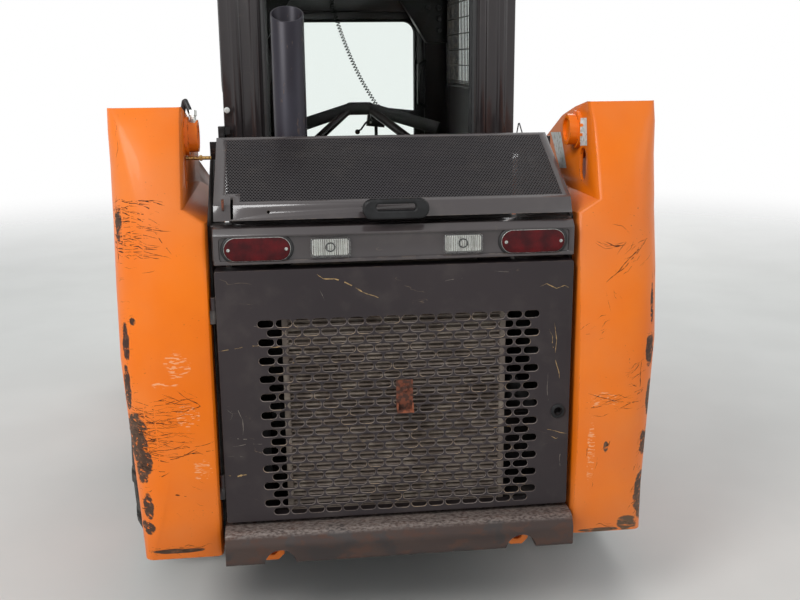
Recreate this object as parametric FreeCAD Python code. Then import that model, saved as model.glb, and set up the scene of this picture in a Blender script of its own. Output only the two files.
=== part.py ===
import FreeCAD, Part
import math
import os

from FreeCAD import Vector

os.makedirs("parts", exist_ok=True)

# Skid steer loader. Millimetres: +X to the machine's right, +Y forward, +Z up, ground at Z = 0.

# Overall sizes
FRAME_LENGTH = 2060.0
BUMPER_REACH = 60.0
COUPLER_FACE = FRAME_LENGTH + 612.0
BUCKET_OFFSET = 20.0
BUCKET_DEPTH = 698.0
OVERALL_LENGTH = BUMPER_REACH + COUPLER_FACE + BUCKET_OFFSET + BUCKET_DEPTH
REAR_Y = BUMPER_REACH - OVERALL_LENGTH / 2
WHEELBASE = 1100.0
REAR_AXLE_Y = REAR_Y + 760.0
FRONT_AXLE_Y = REAR_AXLE_Y + WHEELBASE
FRAME_HALF = 478.0
RUNNING_FIT = 0.05
SEAT_GAP = 0.3

# Tyres and rims
TYRE_RADIUS = 390.0
TYRE_WIDTH = 264.0
TRACK_HALF = FRAME_HALF + 162.0
LUG_HEIGHT = 20.0
LUGS_PER_SIDE = 14
LUG_WIDTH = 34.0
LUG_SLANT = 62.0
RIM_RADIUS = 211.0
RIM_WALL = 7.0
RIM_HALF_WIDTH = 112.0
RIM_FLANGE_RADIUS = 228.0
DISC_OFFSET = 22.0
DISC_THICKNESS = 12.0
HUB_RADIUS = 82.0
HUB_CAP_RADIUS = 56.0
HUB_CAP_LENGTH = 46.0
STUB_RADIUS = 38.0
STUB_FLANGE_RADIUS = 75.0
STUB_FLANGE_LENGTH = 8.0
HUB_GAP = 6.0

# Lower frame
FRAME_WALL = 8.0
FRAME_FRONT_Y = REAR_Y + FRAME_LENGTH
BELLY_Z = 205.0
RAIL_WIDTH = 125.0
RAIL_TOP_Z = 560.0
RAIL_REAR_Y = REAR_Y + 330.0
SIDE_TOP_Z = 850.0
DECK_Z = 1338.0
DECK_THICKNESS = 5.0
FOOT_FLOOR_Z = 400.0
STEP_Z = 640.0
STEP_THICKNESS = 8.0
REAR_BEAM_BOTTOM_Z = 300.0
REAR_BEAM_TOP_Z = 394.0
BEARER_TOP_Z = 350.0
BEARER_DEPTH = 60.0

# Towers
TOWER_BOTTOM_Z = 306.0
TOWER_TOP_Z = 1483.0
TOWER_TOP_INNER = FRAME_HALF + 56.5
TOWER_OUTER = FRAME_HALF + 242.0
TOWER_PLATE = 9.0
TOWER_INNER_BEND = 14.0
TOWER_BEND_STEPS = 6
TOWER_BENDS = (
    # height, rear plate's distance behind or before the door's face, how far the inner side stands out
    # from the frame, how far the outer side stands in from its widest, and the bend radius of the outer
    # rear edge; the first and last rows lie past the tower's ends and shape only its hollow
    (286.0, 3.0, 0.0, 37.0, 20.0),
    (306.0, 0.0, 0.0, 37.0, 24.0),
    (430.0, -17.0, 0.0, 26.0, 80.0),
    (560.0, -29.0, 0.0, 16.0, 110.0),
    (850.0, -25.0, 0.0, 0.0, 115.0),
    (1040.0, -5.0, 0.0, 0.0, 115.0),
    (1202.0, 28.0, 0.0, 0.0, 115.0),
    (1236.0, 35.0, 56.5, 0.0, 110.0),
    (1340.0, 70.0, 56.5, 0.0, 90.0),
    (1430.0, 108.0, 56.5, 0.0, 50.0),
    (1483.0, 148.0, 56.5, 0.0, 20.0),
    (1503.0, 163.0, 56.5, 0.0, 14.0),
)
TOWER_SLOT = (157.0, 213.0, 1268.0, 1358.0)
TOWER_FRONT_Y = REAR_Y + 700.0
SPACER_GAP = 3.0
PIVOT_Y = REAR_Y + 240.0
PIVOT_Z = 1404.0
PIVOT_PIN_RADIUS = 30.0
PIVOT_BOSS_RADIUS = 42.0
PIVOT_BOSS_LENGTH = 34.0
PIVOT_COLLAR_RADIUS = 52.0
PIVOT_COLLAR_LENGTH = 10.0
BASE_PIN_Y = REAR_Y + 190.0
BASE_PIN_Z = 640.0
BASE_PIN_RADIUS = 25.0

# Lift arms
ARM_CENTRE = FRAME_HALF + 149.0
ARM_WIDTH = 130.0
ARM_FRONT = FRAME_LENGTH + 392.0
ARM_LUG_THICKNESS = 12.0
PIN_HEAD = 4.0
LIFT_PIN_Y = REAR_Y + 1000.0
LIFT_PIN_Z = 1150.0
LIFT_PIN_RADIUS = 22.0
CROSS_TUBE_Y = REAR_Y + ARM_FRONT - 52.0
CROSS_TUBE_Z = 300.0
CROSS_TUBE_RADIUS = 55.0
EAR_CENTRE = 380.0
EAR_THICKNESS = 40.0
TILT_BASE_Y = REAR_Y + ARM_FRONT - 372.0
TILT_BASE_Z = 950.0

# Quick-attach coupler and its pins
COUPLER_PIVOT_Y = REAR_Y + COUPLER_FACE - 152.0
COUPLER_PIVOT_Z = 215.0
COUPLER_PIN_RADIUS = 24.0
COUPLER_HALF = 545.0
COUPLER_PLATE = 16.0
COUPLER_FACE_Y = REAR_Y + COUPLER_FACE
COUPLER_BOTTOM_Z = 135.0
COUPLER_TOP_Z = 545.0
COUPLER_LUG = 16.0
COUPLER_LUG_GAP = 4.0
TILT_PIN_Y = COUPLER_PIVOT_Y + 24.0
TILT_PIN_Z = COUPLER_PIVOT_Z + 173.0
TILT_PIN_RADIUS = 20.0
TILT_CENTRE = ARM_CENTRE - 155.0

# Cylinders
LIFT_BARREL_RADIUS = 45.0
LIFT_BORE_RADIUS = 33.0
LIFT_BARREL_LENGTH = 770.0
LIFT_ROD_LENGTH = 700.0
LIFT_EYE_RADIUS = 42.0
LIFT_EYE_WIDTH = 50.0
LIFT_ROD_RADIUS = 22.0
TILT_BARREL_RADIUS = 40.0
TILT_BORE_RADIUS = 29.0
TILT_BARREL_LENGTH = 560.0
TILT_ROD_LENGTH = 520.0
TILT_EYE_RADIUS = 36.0
TILT_EYE_WIDTH = 44.0
TILT_ROD_RADIUS = 18.0
GLAND_LENGTH = 40.0
CYLINDER_SIDES = 12
BAR_SIDES = 8

# Bucket
BUCKET_HALF = 815.0
BUCKET_BACK_Y = COUPLER_FACE_Y + BUCKET_OFFSET
BUCKET_LIP_Y = BUCKET_BACK_Y + BUCKET_DEPTH
BUCKET_HEIGHT = 520.0
BUCKET_WALL = 10.0
HEEL_RADIUS = 110.0
EDGE_THICKNESS = 20.0
EDGE_DEPTH = 170.0

# Rear door and its surround
DOOR_HALF = FRAME_HALF - 15.0
DOOR_BOTTOM_Z = 400.0
DOOR_TOP_Z = 1084.0
DOOR_SHEET = 5.0
DOOR_DEPTH = 50.0
DOOR_HINGE_X = -DOOR_HALF - 6.5
DOOR_HINGE_Y = REAR_Y + 2.0
HINGE_RADIUS = 5.5
HINGE_PIN_RADIUS = 3.0
HINGE_LENGTH = 34.0
DOOR_HINGE_LOW_Z = 470.0
DOOR_HINGE_HIGH_Z = 950.0
SLOT_LENGTH = 57.0
SLOT_HEIGHT = 26.0
SLOT_PITCH_X = 67.5
SLOT_PITCH_Z = 73.0
SLOT_ROWS = 8
SLOT_COLUMNS = 11
GRILLE_BOTTOM_Z = 424.0
LATCH_X = 432.0
LATCH_Z = 670.0
LATCH_RADIUS = 20.0
BRACKET_X = 15.0
BRACKET_TOP_Z = 779.0
BRACKET_BOTTOM_Z = 695.0
BRACKET_HALF = 22.0
BRACKET_REACH = 26.0
BAR_HALF = FRAME_HALF - 16.0
BAR_BOTTOM_Z = 1099.0
BAR_TOP_Z = 1190.0
BAR_DEPTH = 60.0
STOP_LAMP_X = 353.0
STOP_LAMP_HALF = 82.5
CLEAR_LAMP_X = 170.0
CLEAR_LAMP_HALF = 51.0
LAMP_Z = 1138.0
LAMP_HEIGHT = 58.0
LAMP_PROUD = 12.0

# Bumper and tie-down lugs
BUMPER_HALF = FRAME_HALF - 10.0
BUMPER_BOTTOM_Z = 300.0
BUMPER_TOP_Z = 388.0
NOTCH_X = 325.0
NOTCH_RADIUS = 42.0
TIE_LUG_X = 350.0
TIE_LUG_BOTTOM_Z = 230.0
TIE_LUG_RADIUS = 34.0
TIE_HOLE_RADIUS = 18.0
TIE_LUG_THICKNESS = 16.0

# Hood
HOOD_REAR_Y = REAR_Y + 12.0
HOOD_REAR_Z = 1209.0
HOOD_CREASE_Y = REAR_Y + 31.0
HOOD_CREASE_Z = 1246.5
HOOD_FRONT_Y = REAR_Y + 302.0
HOOD_FRONT_Z = 1393.0
HOOD_HALF = FRAME_HALF - 20.0
HOOD_SHEET = 5.0
HOOD_HINGE_Y = HOOD_FRONT_Y + 2.0
HOOD_HINGE_Z = HOOD_FRONT_Z - 12.0
HOOD_KNUCKLE_HALF = 60.0
HANDLE_HALF = 86.0
HANDLE_REACH = 46.0

# Engine, radiator, exhaust
ENGINE_HALF = 270.0
ENGINE_REAR_Y = REAR_Y + 160.0
ENGINE_FRONT_Y = REAR_Y + 640.0
ENGINE_TOP_Z = 1040.0
RADIATOR_HALF = 300.0
RADIATOR_REAR_Y = REAR_Y + 70.0
RADIATOR_DEPTH = 70.0
RADIATOR_TOP_Z = 1010.0
STACK_X = -255.0
STACK_Y = REAR_Y + 390.0
STACK_RADIUS = 46.0
STACK_WALL = 4.0
STACK_SIDES = 16
STACK_TOP_Z = 1750.0

# Cab
CAB_HALF = FRAME_HALF - 22.0
CAB_WALL = 30.0
CAB_REAR_Y = REAR_Y + 680.0
CAB_FRONT_Y = FRAME_FRONT_Y - 210.0
REAR_RIB_WIDTH = 16.0
REAR_RIB_DEPTH = 8.0
REAR_RIB_PLACES = (352.0, 412.0)
CAB_ROOF_Z = 1945.0
ROOF_THICKNESS = 45.0
ROOF_OVERHANG = 12.0
REAR_WINDOW_HALF = 322.0
REAR_WINDOW_BOTTOM_Z = 1290.0
REAR_WINDOW_TOP_Z = 1860.0
WINDOW_CORNER = 70.0
SIDE_WINDOW_REAR_Y = CAB_REAR_Y + 110.0
SIDE_WINDOW_FRONT_Y = CAB_FRONT_Y - 130.0
SIDE_WINDOW_BOTTOM_Z = 1500.0
SIDE_WINDOW_TOP_Z = 1880.0
GLASS_THICKNESS = 6.0
FRONT_OPENING_HALF = 335.0
FRONT_OPENING_BOTTOM_Z = 655.0
FRONT_OPENING_TOP_Z = 1790.0
FRONT_DOOR_LAP = 22.0
FRONT_DOOR_DEPTH = 28.0
FRONT_DOOR_BORDER = 60.0
FRONT_HINGE_LOW_Z = 760.0
FRONT_HINGE_HIGH_Z = 1600.0

# Operator's seat, restraint and controls
SEAT_HALF = 235.0
SEAT_BOX_HALF = 290.0
SEAT_BOX_TOP_Z = 830.0
SEAT_REAR_Y = REAR_Y + 800.0
SEAT_FRONT_Y = REAR_Y + 1290.0
CUSHION_THICKNESS = 90.0
BACK_TOP_Z = 1325.0
POD_TOP_Z = 900.0
BACK_THICKNESS = 90.0
RESTRAINT_PIVOT_Y = REAR_Y + 905.0
RESTRAINT_PIVOT_Z = 1240.0
RESTRAINT_HALF = 273.0
RESTRAINT_TUBE = 21.0
RESTRAINT_REACH = 540.0
RESTRAINT_BEND = 130.0
RESTRAINT_REST_DEG = 38.0
RESTRAINT_PIN_RADIUS = 10.0


def fore(distance):
    """Y of a place that lies this far forward of the rear door's outer face."""
    return REAR_Y + distance


def block(x0, x1, y0, y1, z0, z1):
    return Part.makeBox(x1 - x0, y1 - y0, z1 - z0, Vector(x0, y0, z0))


def rounded_wire(corners, place):
    """Closed wire through corners (u, v, radius); place turns (u, v) into a point."""
    count = len(corners)
    edges, first, last = [], None, None
    for i, (u, v, radius) in enumerate(corners):
        corner = Vector(u, v, 0)
        before = Vector(corners[i - 1][0], corners[i - 1][1], 0) - corner
        after = Vector(corners[(i + 1) % count][0], corners[(i + 1) % count][1], 0) - corner
        if radius == 0:
            start, end = corner, corner
        else:
            half = before.getAngle(after) / 2
            reach = radius / math.tan(half)
            start = corner + before.normalize() * reach
            end = corner + after.normalize() * reach
            inward = (before + after).normalize()
            middle = corner + inward * (radius / math.sin(half) - radius)
        if last is not None:
            edges.append(Part.makeLine(place(last.x, last.y), place(start.x, start.y)))
        if radius > 0:
            ends = [place(p.x, p.y) for p in (start, middle, end)]
            edges.append(Part.Arc(*ends).toShape())
        first = first or start
        last = end
    edges.append(Part.makeLine(place(last.x, last.y), place(first.x, first.y)))
    return Part.Wire(edges)


def with_radius(points, radius=0.0):
    return [(point[0], point[1], point[2] if len(point) > 2 else radius) for point in points]


def slab_x(corners_yz, x0, x1, radius=0.0):
    """Plate or prism whose outline lies in YZ, from x0 to x1."""
    wire = rounded_wire(with_radius(corners_yz, radius), lambda y, z: Vector(x0, y, z))
    return Part.Face(wire).extrude(Vector(x1 - x0, 0, 0))


def slab_y(corners_xz, y0, y1, radius=0.0):
    """Plate or prism whose outline lies in XZ, from y0 to y1."""
    wire = rounded_wire(with_radius(corners_xz, radius), lambda x, z: Vector(x, y0, z))
    return Part.Face(wire).extrude(Vector(0, y1 - y0, 0))


def slab_z(corners_xy, z0, z1, radius=0.0):
    """Plate or prism whose outline lies in XY, from z0 to z1."""
    wire = rounded_wire(with_radius(corners_xy, radius), lambda x, y: Vector(x, y, z0))
    return Part.Face(wire).extrude(Vector(0, 0, z1 - z0))


def rectangle(u0, u1, v0, v1):
    return [(u0, v0), (u1, v0), (u1, v1), (u0, v1)]


def rod_x(radius, x0, x1, y, z):
    return Part.makeCylinder(radius, x1 - x0, Vector(x0, y, z), Vector(1, 0, 0))


def rod_y(radius, y0, y1, x, z):
    return Part.makeCylinder(radius, y1 - y0, Vector(x, y0, z), Vector(0, 1, 0))


def rod_z(radius, z0, z1, x, y):
    return Part.makeCylinder(radius, z1 - z0, Vector(x, y, z0), Vector(0, 0, 1))


def fuse(first, *others):
    return first.fuse(list(others)).removeSplitter() if others else first


def mirrored(shape):
    return shape.mirror(Vector(0, 0, 0), Vector(1, 0, 0))


def both_sides(shape):
    """The right-hand shape with its mirror image on the left."""
    return Part.makeCompound([shape, mirrored(shape)])


def polygon_corners(radius, middle, along, sides):
    """Corners of an even polygon square to a direction."""
    upright = Vector(0, 0, 1) if abs(along.z) < 0.9 * along.Length else Vector(0, 1, 0)
    side = along.cross(upright).normalize()
    other = along.cross(side).normalize()
    corners = []
    for index in range(sides):
        turn = 2 * math.pi * (index + 0.5) / sides
        corners.append(middle + (other * math.cos(turn) + side * math.sin(turn)) * radius)
    return corners


def flat_sided_rod(radius, start, end, sides):
    """Prism of this many flats from start to end, with its corners at the radius."""
    corners = polygon_corners(radius, start, end - start, sides)
    return Part.Face(Part.makePolygon(corners + corners[:1])).extrude(end - start)


def flat_loft(outlines):
    """Solid through matching outlines whose like edges are parallel, so that each side face is flat."""
    faces = [Part.Face(Part.makePolygon(outline + outline[:1])) for outline in (outlines[0], outlines[-1])]
    for below, above in zip(outlines, outlines[1:]):
        for index in range(len(below)):
            after = (index + 1) % len(below)
            corners = [below[index], below[after], above[after], above[index], below[index]]
            faces.append(Part.Face(Part.makePolygon(corners)))
    shell = Part.Shell(faces)
    solid = Part.Solid(shell)
    if solid.Volume < 0:
        solid.reverse()
    return solid


def chorded_bar(points, radius, sides, bend_radius, steps):
    """Bar of this many flats along points, each corner rounded by short mitred runs."""
    path = [points[0]]
    for before, corner, after in zip(points, points[1:], points[2:]):
        back, ahead = (before - corner).normalize(), (after - corner).normalize()
        half = back.getAngle(ahead) / 2
        centre = corner + (back + ahead).normalize() * (bend_radius / math.sin(half))
        start = corner + back * (bend_radius / math.tan(half)) - centre
        axis = back.cross(start)
        for index in range(steps + 1):
            turn = FreeCAD.Rotation(axis, (180 - math.degrees(2 * half)) * index / steps)
            path.append(centre + turn.multVec(start))
    path.append(points[-1])
    outlines = [polygon_corners(radius, path[0], path[1] - path[0], sides)]
    for here, ahead, beyond in zip(path, path[1:], path[2:] + [path[-1] * 2 - path[-2]]):
        along, normal = (ahead - here).normalize(), (ahead - here).normalize() + (beyond - ahead).normalize()
        reach = along.dot(normal)
        outlines.append([spot + along * ((ahead - spot).dot(normal) / reach) for spot in outlines[-1]])
    return flat_loft(outlines)


def bar_run(points, radius, sides, bend_radius=None):
    """Bar of this many flats through points: straight runs joined by tangent bends, in one closed solid each."""
    pieces, last = [], points[0]
    first_run = points[1] - points[0]
    section = flat_sided_rod(radius, last, last + first_run, sides).Faces
    section = [face for face in section if face.CenterOfMass.isEqual(last, 1e-6)][0]
    for before, corner, after in zip(points, points[1:], points[2:]):
        back, ahead = before - corner, after - corner
        half = back.getAngle(ahead) / 2
        reach = 0.45 * min(back.Length, ahead.Length)
        if bend_radius:
            reach = bend_radius / math.tan(half)
        else:
            print("cord bend radius", round(reach * math.tan(half)), "mm")
        back.normalize()
        ahead.normalize()
        start, end = corner + back * reach, corner + ahead * reach
        centre = corner + (back + ahead).normalize() * (reach / math.cos(half))
        axis = (start - centre).cross(end - centre)
        turn = 180 - math.degrees(2 * half)
        straight = start - last
        pieces.append(section.extrude(straight))
        section = section.copy()
        section.translate(straight)
        pieces.append(section.revolve(centre, axis, turn))
        section.rotate(centre, axis, turn)
        last = end
    pieces.append(section.extrude(points[-1] - last))
    return pieces


def save(node, shape):
    solids = shape.Solids
    whole = solids[0] if len(solids) == 1 else Part.makeCompound(solids)
    whole.exportStep("parts/" + node + ".step")
    print(node, len(solids), "solids", round(whole.Volume / 1e6, 2), "litres", whole.isValid())


def chassis_frame():
    """Welded tub: side plates, chain-case rails, belly, foot well, step and cross beams."""
    side_profile = [
        (fore(70), REAR_BEAM_BOTTOM_Z),
        (fore(70), 1190),
        (HOOD_FRONT_Y - 8, DECK_Z - DECK_THICKNESS),
        (CAB_REAR_Y - 12, DECK_Z - DECK_THICKNESS),
        (CAB_REAR_Y + 30, SIDE_TOP_Z, 40),
        (FRAME_FRONT_Y - 60, SIDE_TOP_Z, 40),
        (FRAME_FRONT_Y, STEP_Z, 20),
        (FRAME_FRONT_Y, 330, 40),
        (FRAME_FRONT_Y - 150, BELLY_Z, 40),
        (fore(300), BELLY_Z, 40),
        (fore(190), REAR_BEAM_BOTTOM_Z),
    ]
    inner = FRAME_HALF - FRAME_WALL
    side = slab_x(side_profile, inner, FRAME_HALF)
    rail_profile = [
        (RAIL_REAR_Y, RAIL_TOP_Z, 20),
        (FRAME_FRONT_Y - FRAME_WALL, RAIL_TOP_Z),
        (FRAME_FRONT_Y - FRAME_WALL, 335, 40),
        (FRAME_FRONT_Y - 150, BELLY_Z, 40),
        (RAIL_REAR_Y, BELLY_Z, 20),
    ]
    rail = slab_x(rail_profile, inner - RAIL_WIDTH, inner)
    rail_inner = inner - RAIL_WIDTH
    pieces = [side, mirrored(side), rail, mirrored(rail)]
    pieces.append(block(-rail_inner, rail_inner, RAIL_REAR_Y, fore(1900), BELLY_Z, BELLY_Z + FRAME_WALL))
    pieces.append(block(-rail_inner, rail_inner, SEAT_FRONT_Y, FRAME_FRONT_Y - FRAME_WALL,
                        FOOT_FLOOR_Z - FRAME_WALL, FOOT_FLOOR_Z))
    pieces.append(block(-inner, inner, FRAME_FRONT_Y - FRAME_WALL, FRAME_FRONT_Y, 330, STEP_Z))
    pieces.append(block(-inner, inner, CAB_FRONT_Y, FRAME_FRONT_Y, STEP_Z - STEP_THICKNESS, STEP_Z))
    pieces.append(block(-inner, inner, fore(70), fore(150), REAR_BEAM_BOTTOM_Z, REAR_BEAM_TOP_Z))
    for bearer_y in (ENGINE_REAR_Y + 30, ENGINE_FRONT_Y - BEARER_DEPTH - 30):
        pieces.append(block(-inner, inner, bearer_y, bearer_y + BEARER_DEPTH,
                            BELLY_Z + FRAME_WALL, BEARER_TOP_Z))
    pieces.append(block(-inner, inner, fore(78), fore(118), BAR_BOTTOM_Z, BAR_TOP_Z))
    pieces.append(block(-rail_inner, rail_inner, CAB_REAR_Y - 20, CAB_REAR_Y - 12, BELLY_Z,
                        DECK_Z - DECK_THICKNESS))
    for axle_y in (REAR_AXLE_Y, FRONT_AXLE_Y):
        flange = flat_sided_rod(STUB_FLANGE_RADIUS, Vector(FRAME_HALF, axle_y, TYRE_RADIUS),
                                Vector(FRAME_HALF + STUB_FLANGE_LENGTH, axle_y, TYRE_RADIUS), CYLINDER_SIDES)
        pieces += [flange, mirrored(flange)]
    low_y, high_y = DOOR_HINGE_Y - HINGE_RADIUS, DOOR_HINGE_Y + HINGE_RADIUS
    knuckle_face = DOOR_HINGE_X + HINGE_RADIUS
    knuckle = [(-FRAME_HALF, low_y), (knuckle_face, low_y, HINGE_RADIUS - 0.2),
               (knuckle_face, high_y, HINGE_RADIUS - 0.2), (-FRAME_HALF + 4, high_y),
               (-FRAME_HALF + 4, fore(90)), (-FRAME_HALF, fore(90))]
    for hinge_z in (DOOR_HINGE_LOW_Z, DOOR_HINGE_HIGH_Z):
        pieces.append(slab_z(knuckle, hinge_z, hinge_z + HINGE_LENGTH))
        pieces.append(rod_z(HINGE_PIN_RADIUS, hinge_z + HINGE_LENGTH - 2, hinge_z + 2 * HINGE_LENGTH,
                            DOOR_HINGE_X, DOOR_HINGE_Y))
    return fuse(*pieces, rear_deck())


def tower_outline():
    """Side outline that trims a tower's front and top; behind it the rear plate's own bend shows."""
    return [
        (fore(-80), TOWER_BOTTOM_Z),
        (fore(-80), TOWER_TOP_Z),
        (fore(165), TOWER_TOP_Z),
        (fore(275), 1464, 200),
        (fore(400), 1434, 200),
        (fore(610), 1345, 60),
        (fore(650), 1240, 60),
        (fore(590), 1080, 120),
        (fore(330), 820, 120),
        (fore(285), 600, 100),
        (fore(230), TOWER_BOTTOM_Z),
    ]


def bend_chords(x, y, radius, side, steps):
    """Points along the bend of a rear edge, from the rear plate round to the side plate at x."""
    points = []
    for index in range(steps + 1):
        turn = math.pi / 2 * index / steps
        points.append((x - side * radius * (1 - math.sin(turn)), y + radius * (1 - math.cos(turn))))
    return points


def tower_loft(bends, inset):
    """Solid through the plan outlines of a tower, drawn in by a plate thickness for its hollow."""
    outlines = []
    for height, rear, step_out, step_in, bend in bends:
        inner, outer, back = FRAME_HALF + step_out + inset, TOWER_OUTER - step_in - inset, fore(rear) + inset
        near = bend_chords(inner, back, TOWER_INNER_BEND - inset, -1, 2)
        far = bend_chords(outer, back, bend - inset, 1, TOWER_BEND_STEPS)
        plan = [(inner, TOWER_FRONT_Y)] + near[::-1] + far + [(outer, TOWER_FRONT_Y)]
        outlines.append([Vector(x, y, height) for x, y in plan])
    return flat_loft(outlines)


def tower():
    """Right-hand upright: bent rear plate between two side plates, open in front and on top."""
    outside = tower_loft(TOWER_BENDS[1:-1], 0.0)
    hollow = tower_loft(TOWER_BENDS, TOWER_PLATE)
    body = outside.cut(hollow).common(slab_x(tower_outline(), FRAME_HALF, TOWER_OUTER + 1))
    inner_face = TOWER_TOP_INNER - PIVOT_BOSS_LENGTH
    middle = Vector(0, PIVOT_Y, PIVOT_Z)
    boss = rod_x(PIVOT_BOSS_RADIUS, inner_face, TOWER_TOP_INNER + 1, PIVOT_Y, PIVOT_Z)
    collar = flat_sided_rod(PIVOT_COLLAR_RADIUS, middle + Vector(TOWER_TOP_INNER - PIVOT_COLLAR_LENGTH, 0, 0),
                            middle + Vector(TOWER_TOP_INNER + 1, 0, 0), CYLINDER_SIDES)
    foot_pin = rod_x(BASE_PIN_RADIUS, FRAME_HALF + 2, TOWER_OUTER, BASE_PIN_Y, BASE_PIN_Z)
    spacers = []
    clear = LIFT_BARREL_RADIUS + SPACER_GAP
    for x0, x1 in ((FRAME_HALF + 2, ARM_CENTRE - clear), (ARM_CENTRE + clear, TOWER_OUTER)):
        spacers.append(flat_sided_rod(BASE_PIN_RADIUS + 16, Vector(x0, BASE_PIN_Y, BASE_PIN_Z),
                                      Vector(x1, BASE_PIN_Y, BASE_PIN_Z), CYLINDER_SIDES))
    body = fuse(body, boss, collar, *[piece.common(outside) for piece in [foot_pin] + spacers])
    body = body.cut(rod_x(PIVOT_PIN_RADIUS, inner_face - 2, TOWER_TOP_INNER + 1, PIVOT_Y, PIVOT_Z))
    rear, front, low, high = TOWER_SLOT
    slot = slab_x(rectangle(fore(rear), fore(front), low, high), TOWER_TOP_INNER - 2,
                  TOWER_TOP_INNER + TOWER_PLATE + 2, (front - rear) / 2 - 1)
    arm_pin = rod_x(PIVOT_PIN_RADIUS, inner_face + 8, TOWER_OUTER + 3, PIVOT_Y, PIVOT_Z)
    return fuse(body.cut(slot), arm_pin)


def rear_bumper():
    """Heavy cast bar with a rounded upper edge and a chain notch above each tie-down lug."""
    profile = [
        (fore(-BUMPER_REACH), BUMPER_BOTTOM_Z, 14),
        (fore(70), BUMPER_BOTTOM_Z),
        (fore(70), BUMPER_TOP_Z),
        (fore(-BUMPER_REACH + 18), BUMPER_TOP_Z, 30),
        (fore(-BUMPER_REACH), BUMPER_TOP_Z - 30, 20),
    ]
    bar = slab_x(profile, -BUMPER_HALF, BUMPER_HALF)
    notches = [rod_y(NOTCH_RADIUS, fore(-BUMPER_REACH - 2), fore(20), side * NOTCH_X, BUMPER_BOTTOM_Z)
               for side in (-1, 1)]
    return bar.cut(notches)


def tie_down_lugs():
    """Lashing eyes on both sides under the rear beam."""
    eye_y, eye_z = fore(110), TIE_LUG_BOTTOM_Z + TIE_LUG_RADIUS
    near, far = eye_y - TIE_LUG_THICKNESS / 2, eye_y + TIE_LUG_THICKNESS / 2
    left, right, corner = TIE_LUG_X - TIE_LUG_RADIUS, TIE_LUG_X + TIE_LUG_RADIUS, TIE_LUG_RADIUS * 0.5
    outline = [(left, REAR_BEAM_BOTTOM_Z), (left, eye_z - corner), (left + corner, TIE_LUG_BOTTOM_Z),
               (right - corner, TIE_LUG_BOTTOM_Z), (right, eye_z - corner), (right, REAR_BEAM_BOTTOM_Z)]
    lug = slab_y(outline, near, far).cut(rod_y(TIE_HOLE_RADIUS, near - 1, far + 1, TIE_LUG_X, eye_z))
    return both_sides(lug)


def rear_door():
    """Pressed door with turned-in edges, a slotted grille field, a latch and a hinge barrel."""
    door = slab_y(rectangle(-DOOR_HALF, DOOR_HALF, DOOR_BOTTOM_Z, DOOR_TOP_Z), fore(0), fore(DOOR_DEPTH), 6)
    pan = slab_y(rectangle(-DOOR_HALF + DOOR_SHEET, DOOR_HALF - DOOR_SHEET, DOOR_BOTTOM_Z + DOOR_SHEET,
                           DOOR_TOP_Z - DOOR_SHEET), fore(DOOR_SHEET), fore(DOOR_DEPTH + 1))
    door = door.cut(pan)
    slots = []
    for row in range(SLOT_ROWS):
        shifted = row % 2
        middle_z = GRILLE_BOTTOM_Z + SLOT_PITCH_Z * row + SLOT_HEIGHT / 2
        for column in range(SLOT_COLUMNS - shifted):
            middle_x = (column - (SLOT_COLUMNS - 1 - shifted) / 2) * SLOT_PITCH_X
            slots.append(block(middle_x - SLOT_LENGTH / 2, middle_x + SLOT_LENGTH / 2, fore(-1),
                               fore(DOOR_SHEET + 1), middle_z - SLOT_HEIGHT / 2, middle_z + SLOT_HEIGHT / 2))
    door = door.cut(slots)
    latch = rod_y(LATCH_RADIUS, fore(-4), fore(22), LATCH_X, LATCH_Z)
    latch = latch.cut(rod_y(LATCH_RADIUS / 2, fore(-5), fore(18), LATCH_X, LATCH_Z))
    bracket = block(BRACKET_X - BRACKET_HALF, BRACKET_X + BRACKET_HALF, fore(-DOOR_SHEET), fore(0),
                    BRACKET_BOTTOM_Z, BRACKET_TOP_Z)
    flange = block(BRACKET_X - BRACKET_HALF, BRACKET_X + BRACKET_HALF,
                   fore(-BRACKET_REACH), fore(-DOOR_SHEET),
                   BRACKET_BOTTOM_Z, BRACKET_BOTTOM_Z + DOOR_SHEET)
    hole = rod_y(LATCH_RADIUS / 2, fore(-1), fore(DOOR_SHEET + 1), LATCH_X, LATCH_Z)
    door = fuse(door.cut(hole), latch, bracket, flange)
    knuckles, bores = [], []
    for hinge_z in (DOOR_HINGE_LOW_Z, DOOR_HINGE_HIGH_Z):
        low_z, high_z = hinge_z + HINGE_LENGTH + SEAT_GAP, hinge_z + 2 * HINGE_LENGTH
        knuckles.append(flat_sided_rod(HINGE_RADIUS, Vector(DOOR_HINGE_X, DOOR_HINGE_Y, low_z),
                                       Vector(DOOR_HINGE_X, DOOR_HINGE_Y, high_z), BAR_SIDES))
        knuckles.append(block(DOOR_HINGE_X, -DOOR_HALF + DOOR_SHEET, DOOR_HINGE_Y + 1, DOOR_HINGE_Y + HINGE_RADIUS,
                              low_z, high_z))
        bores.append(rod_z(HINGE_PIN_RADIUS + RUNNING_FIT, low_z - 1, high_z + 1, DOOR_HINGE_X, DOOR_HINGE_Y))
    return fuse(door, *knuckles).cut(bores)


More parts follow.
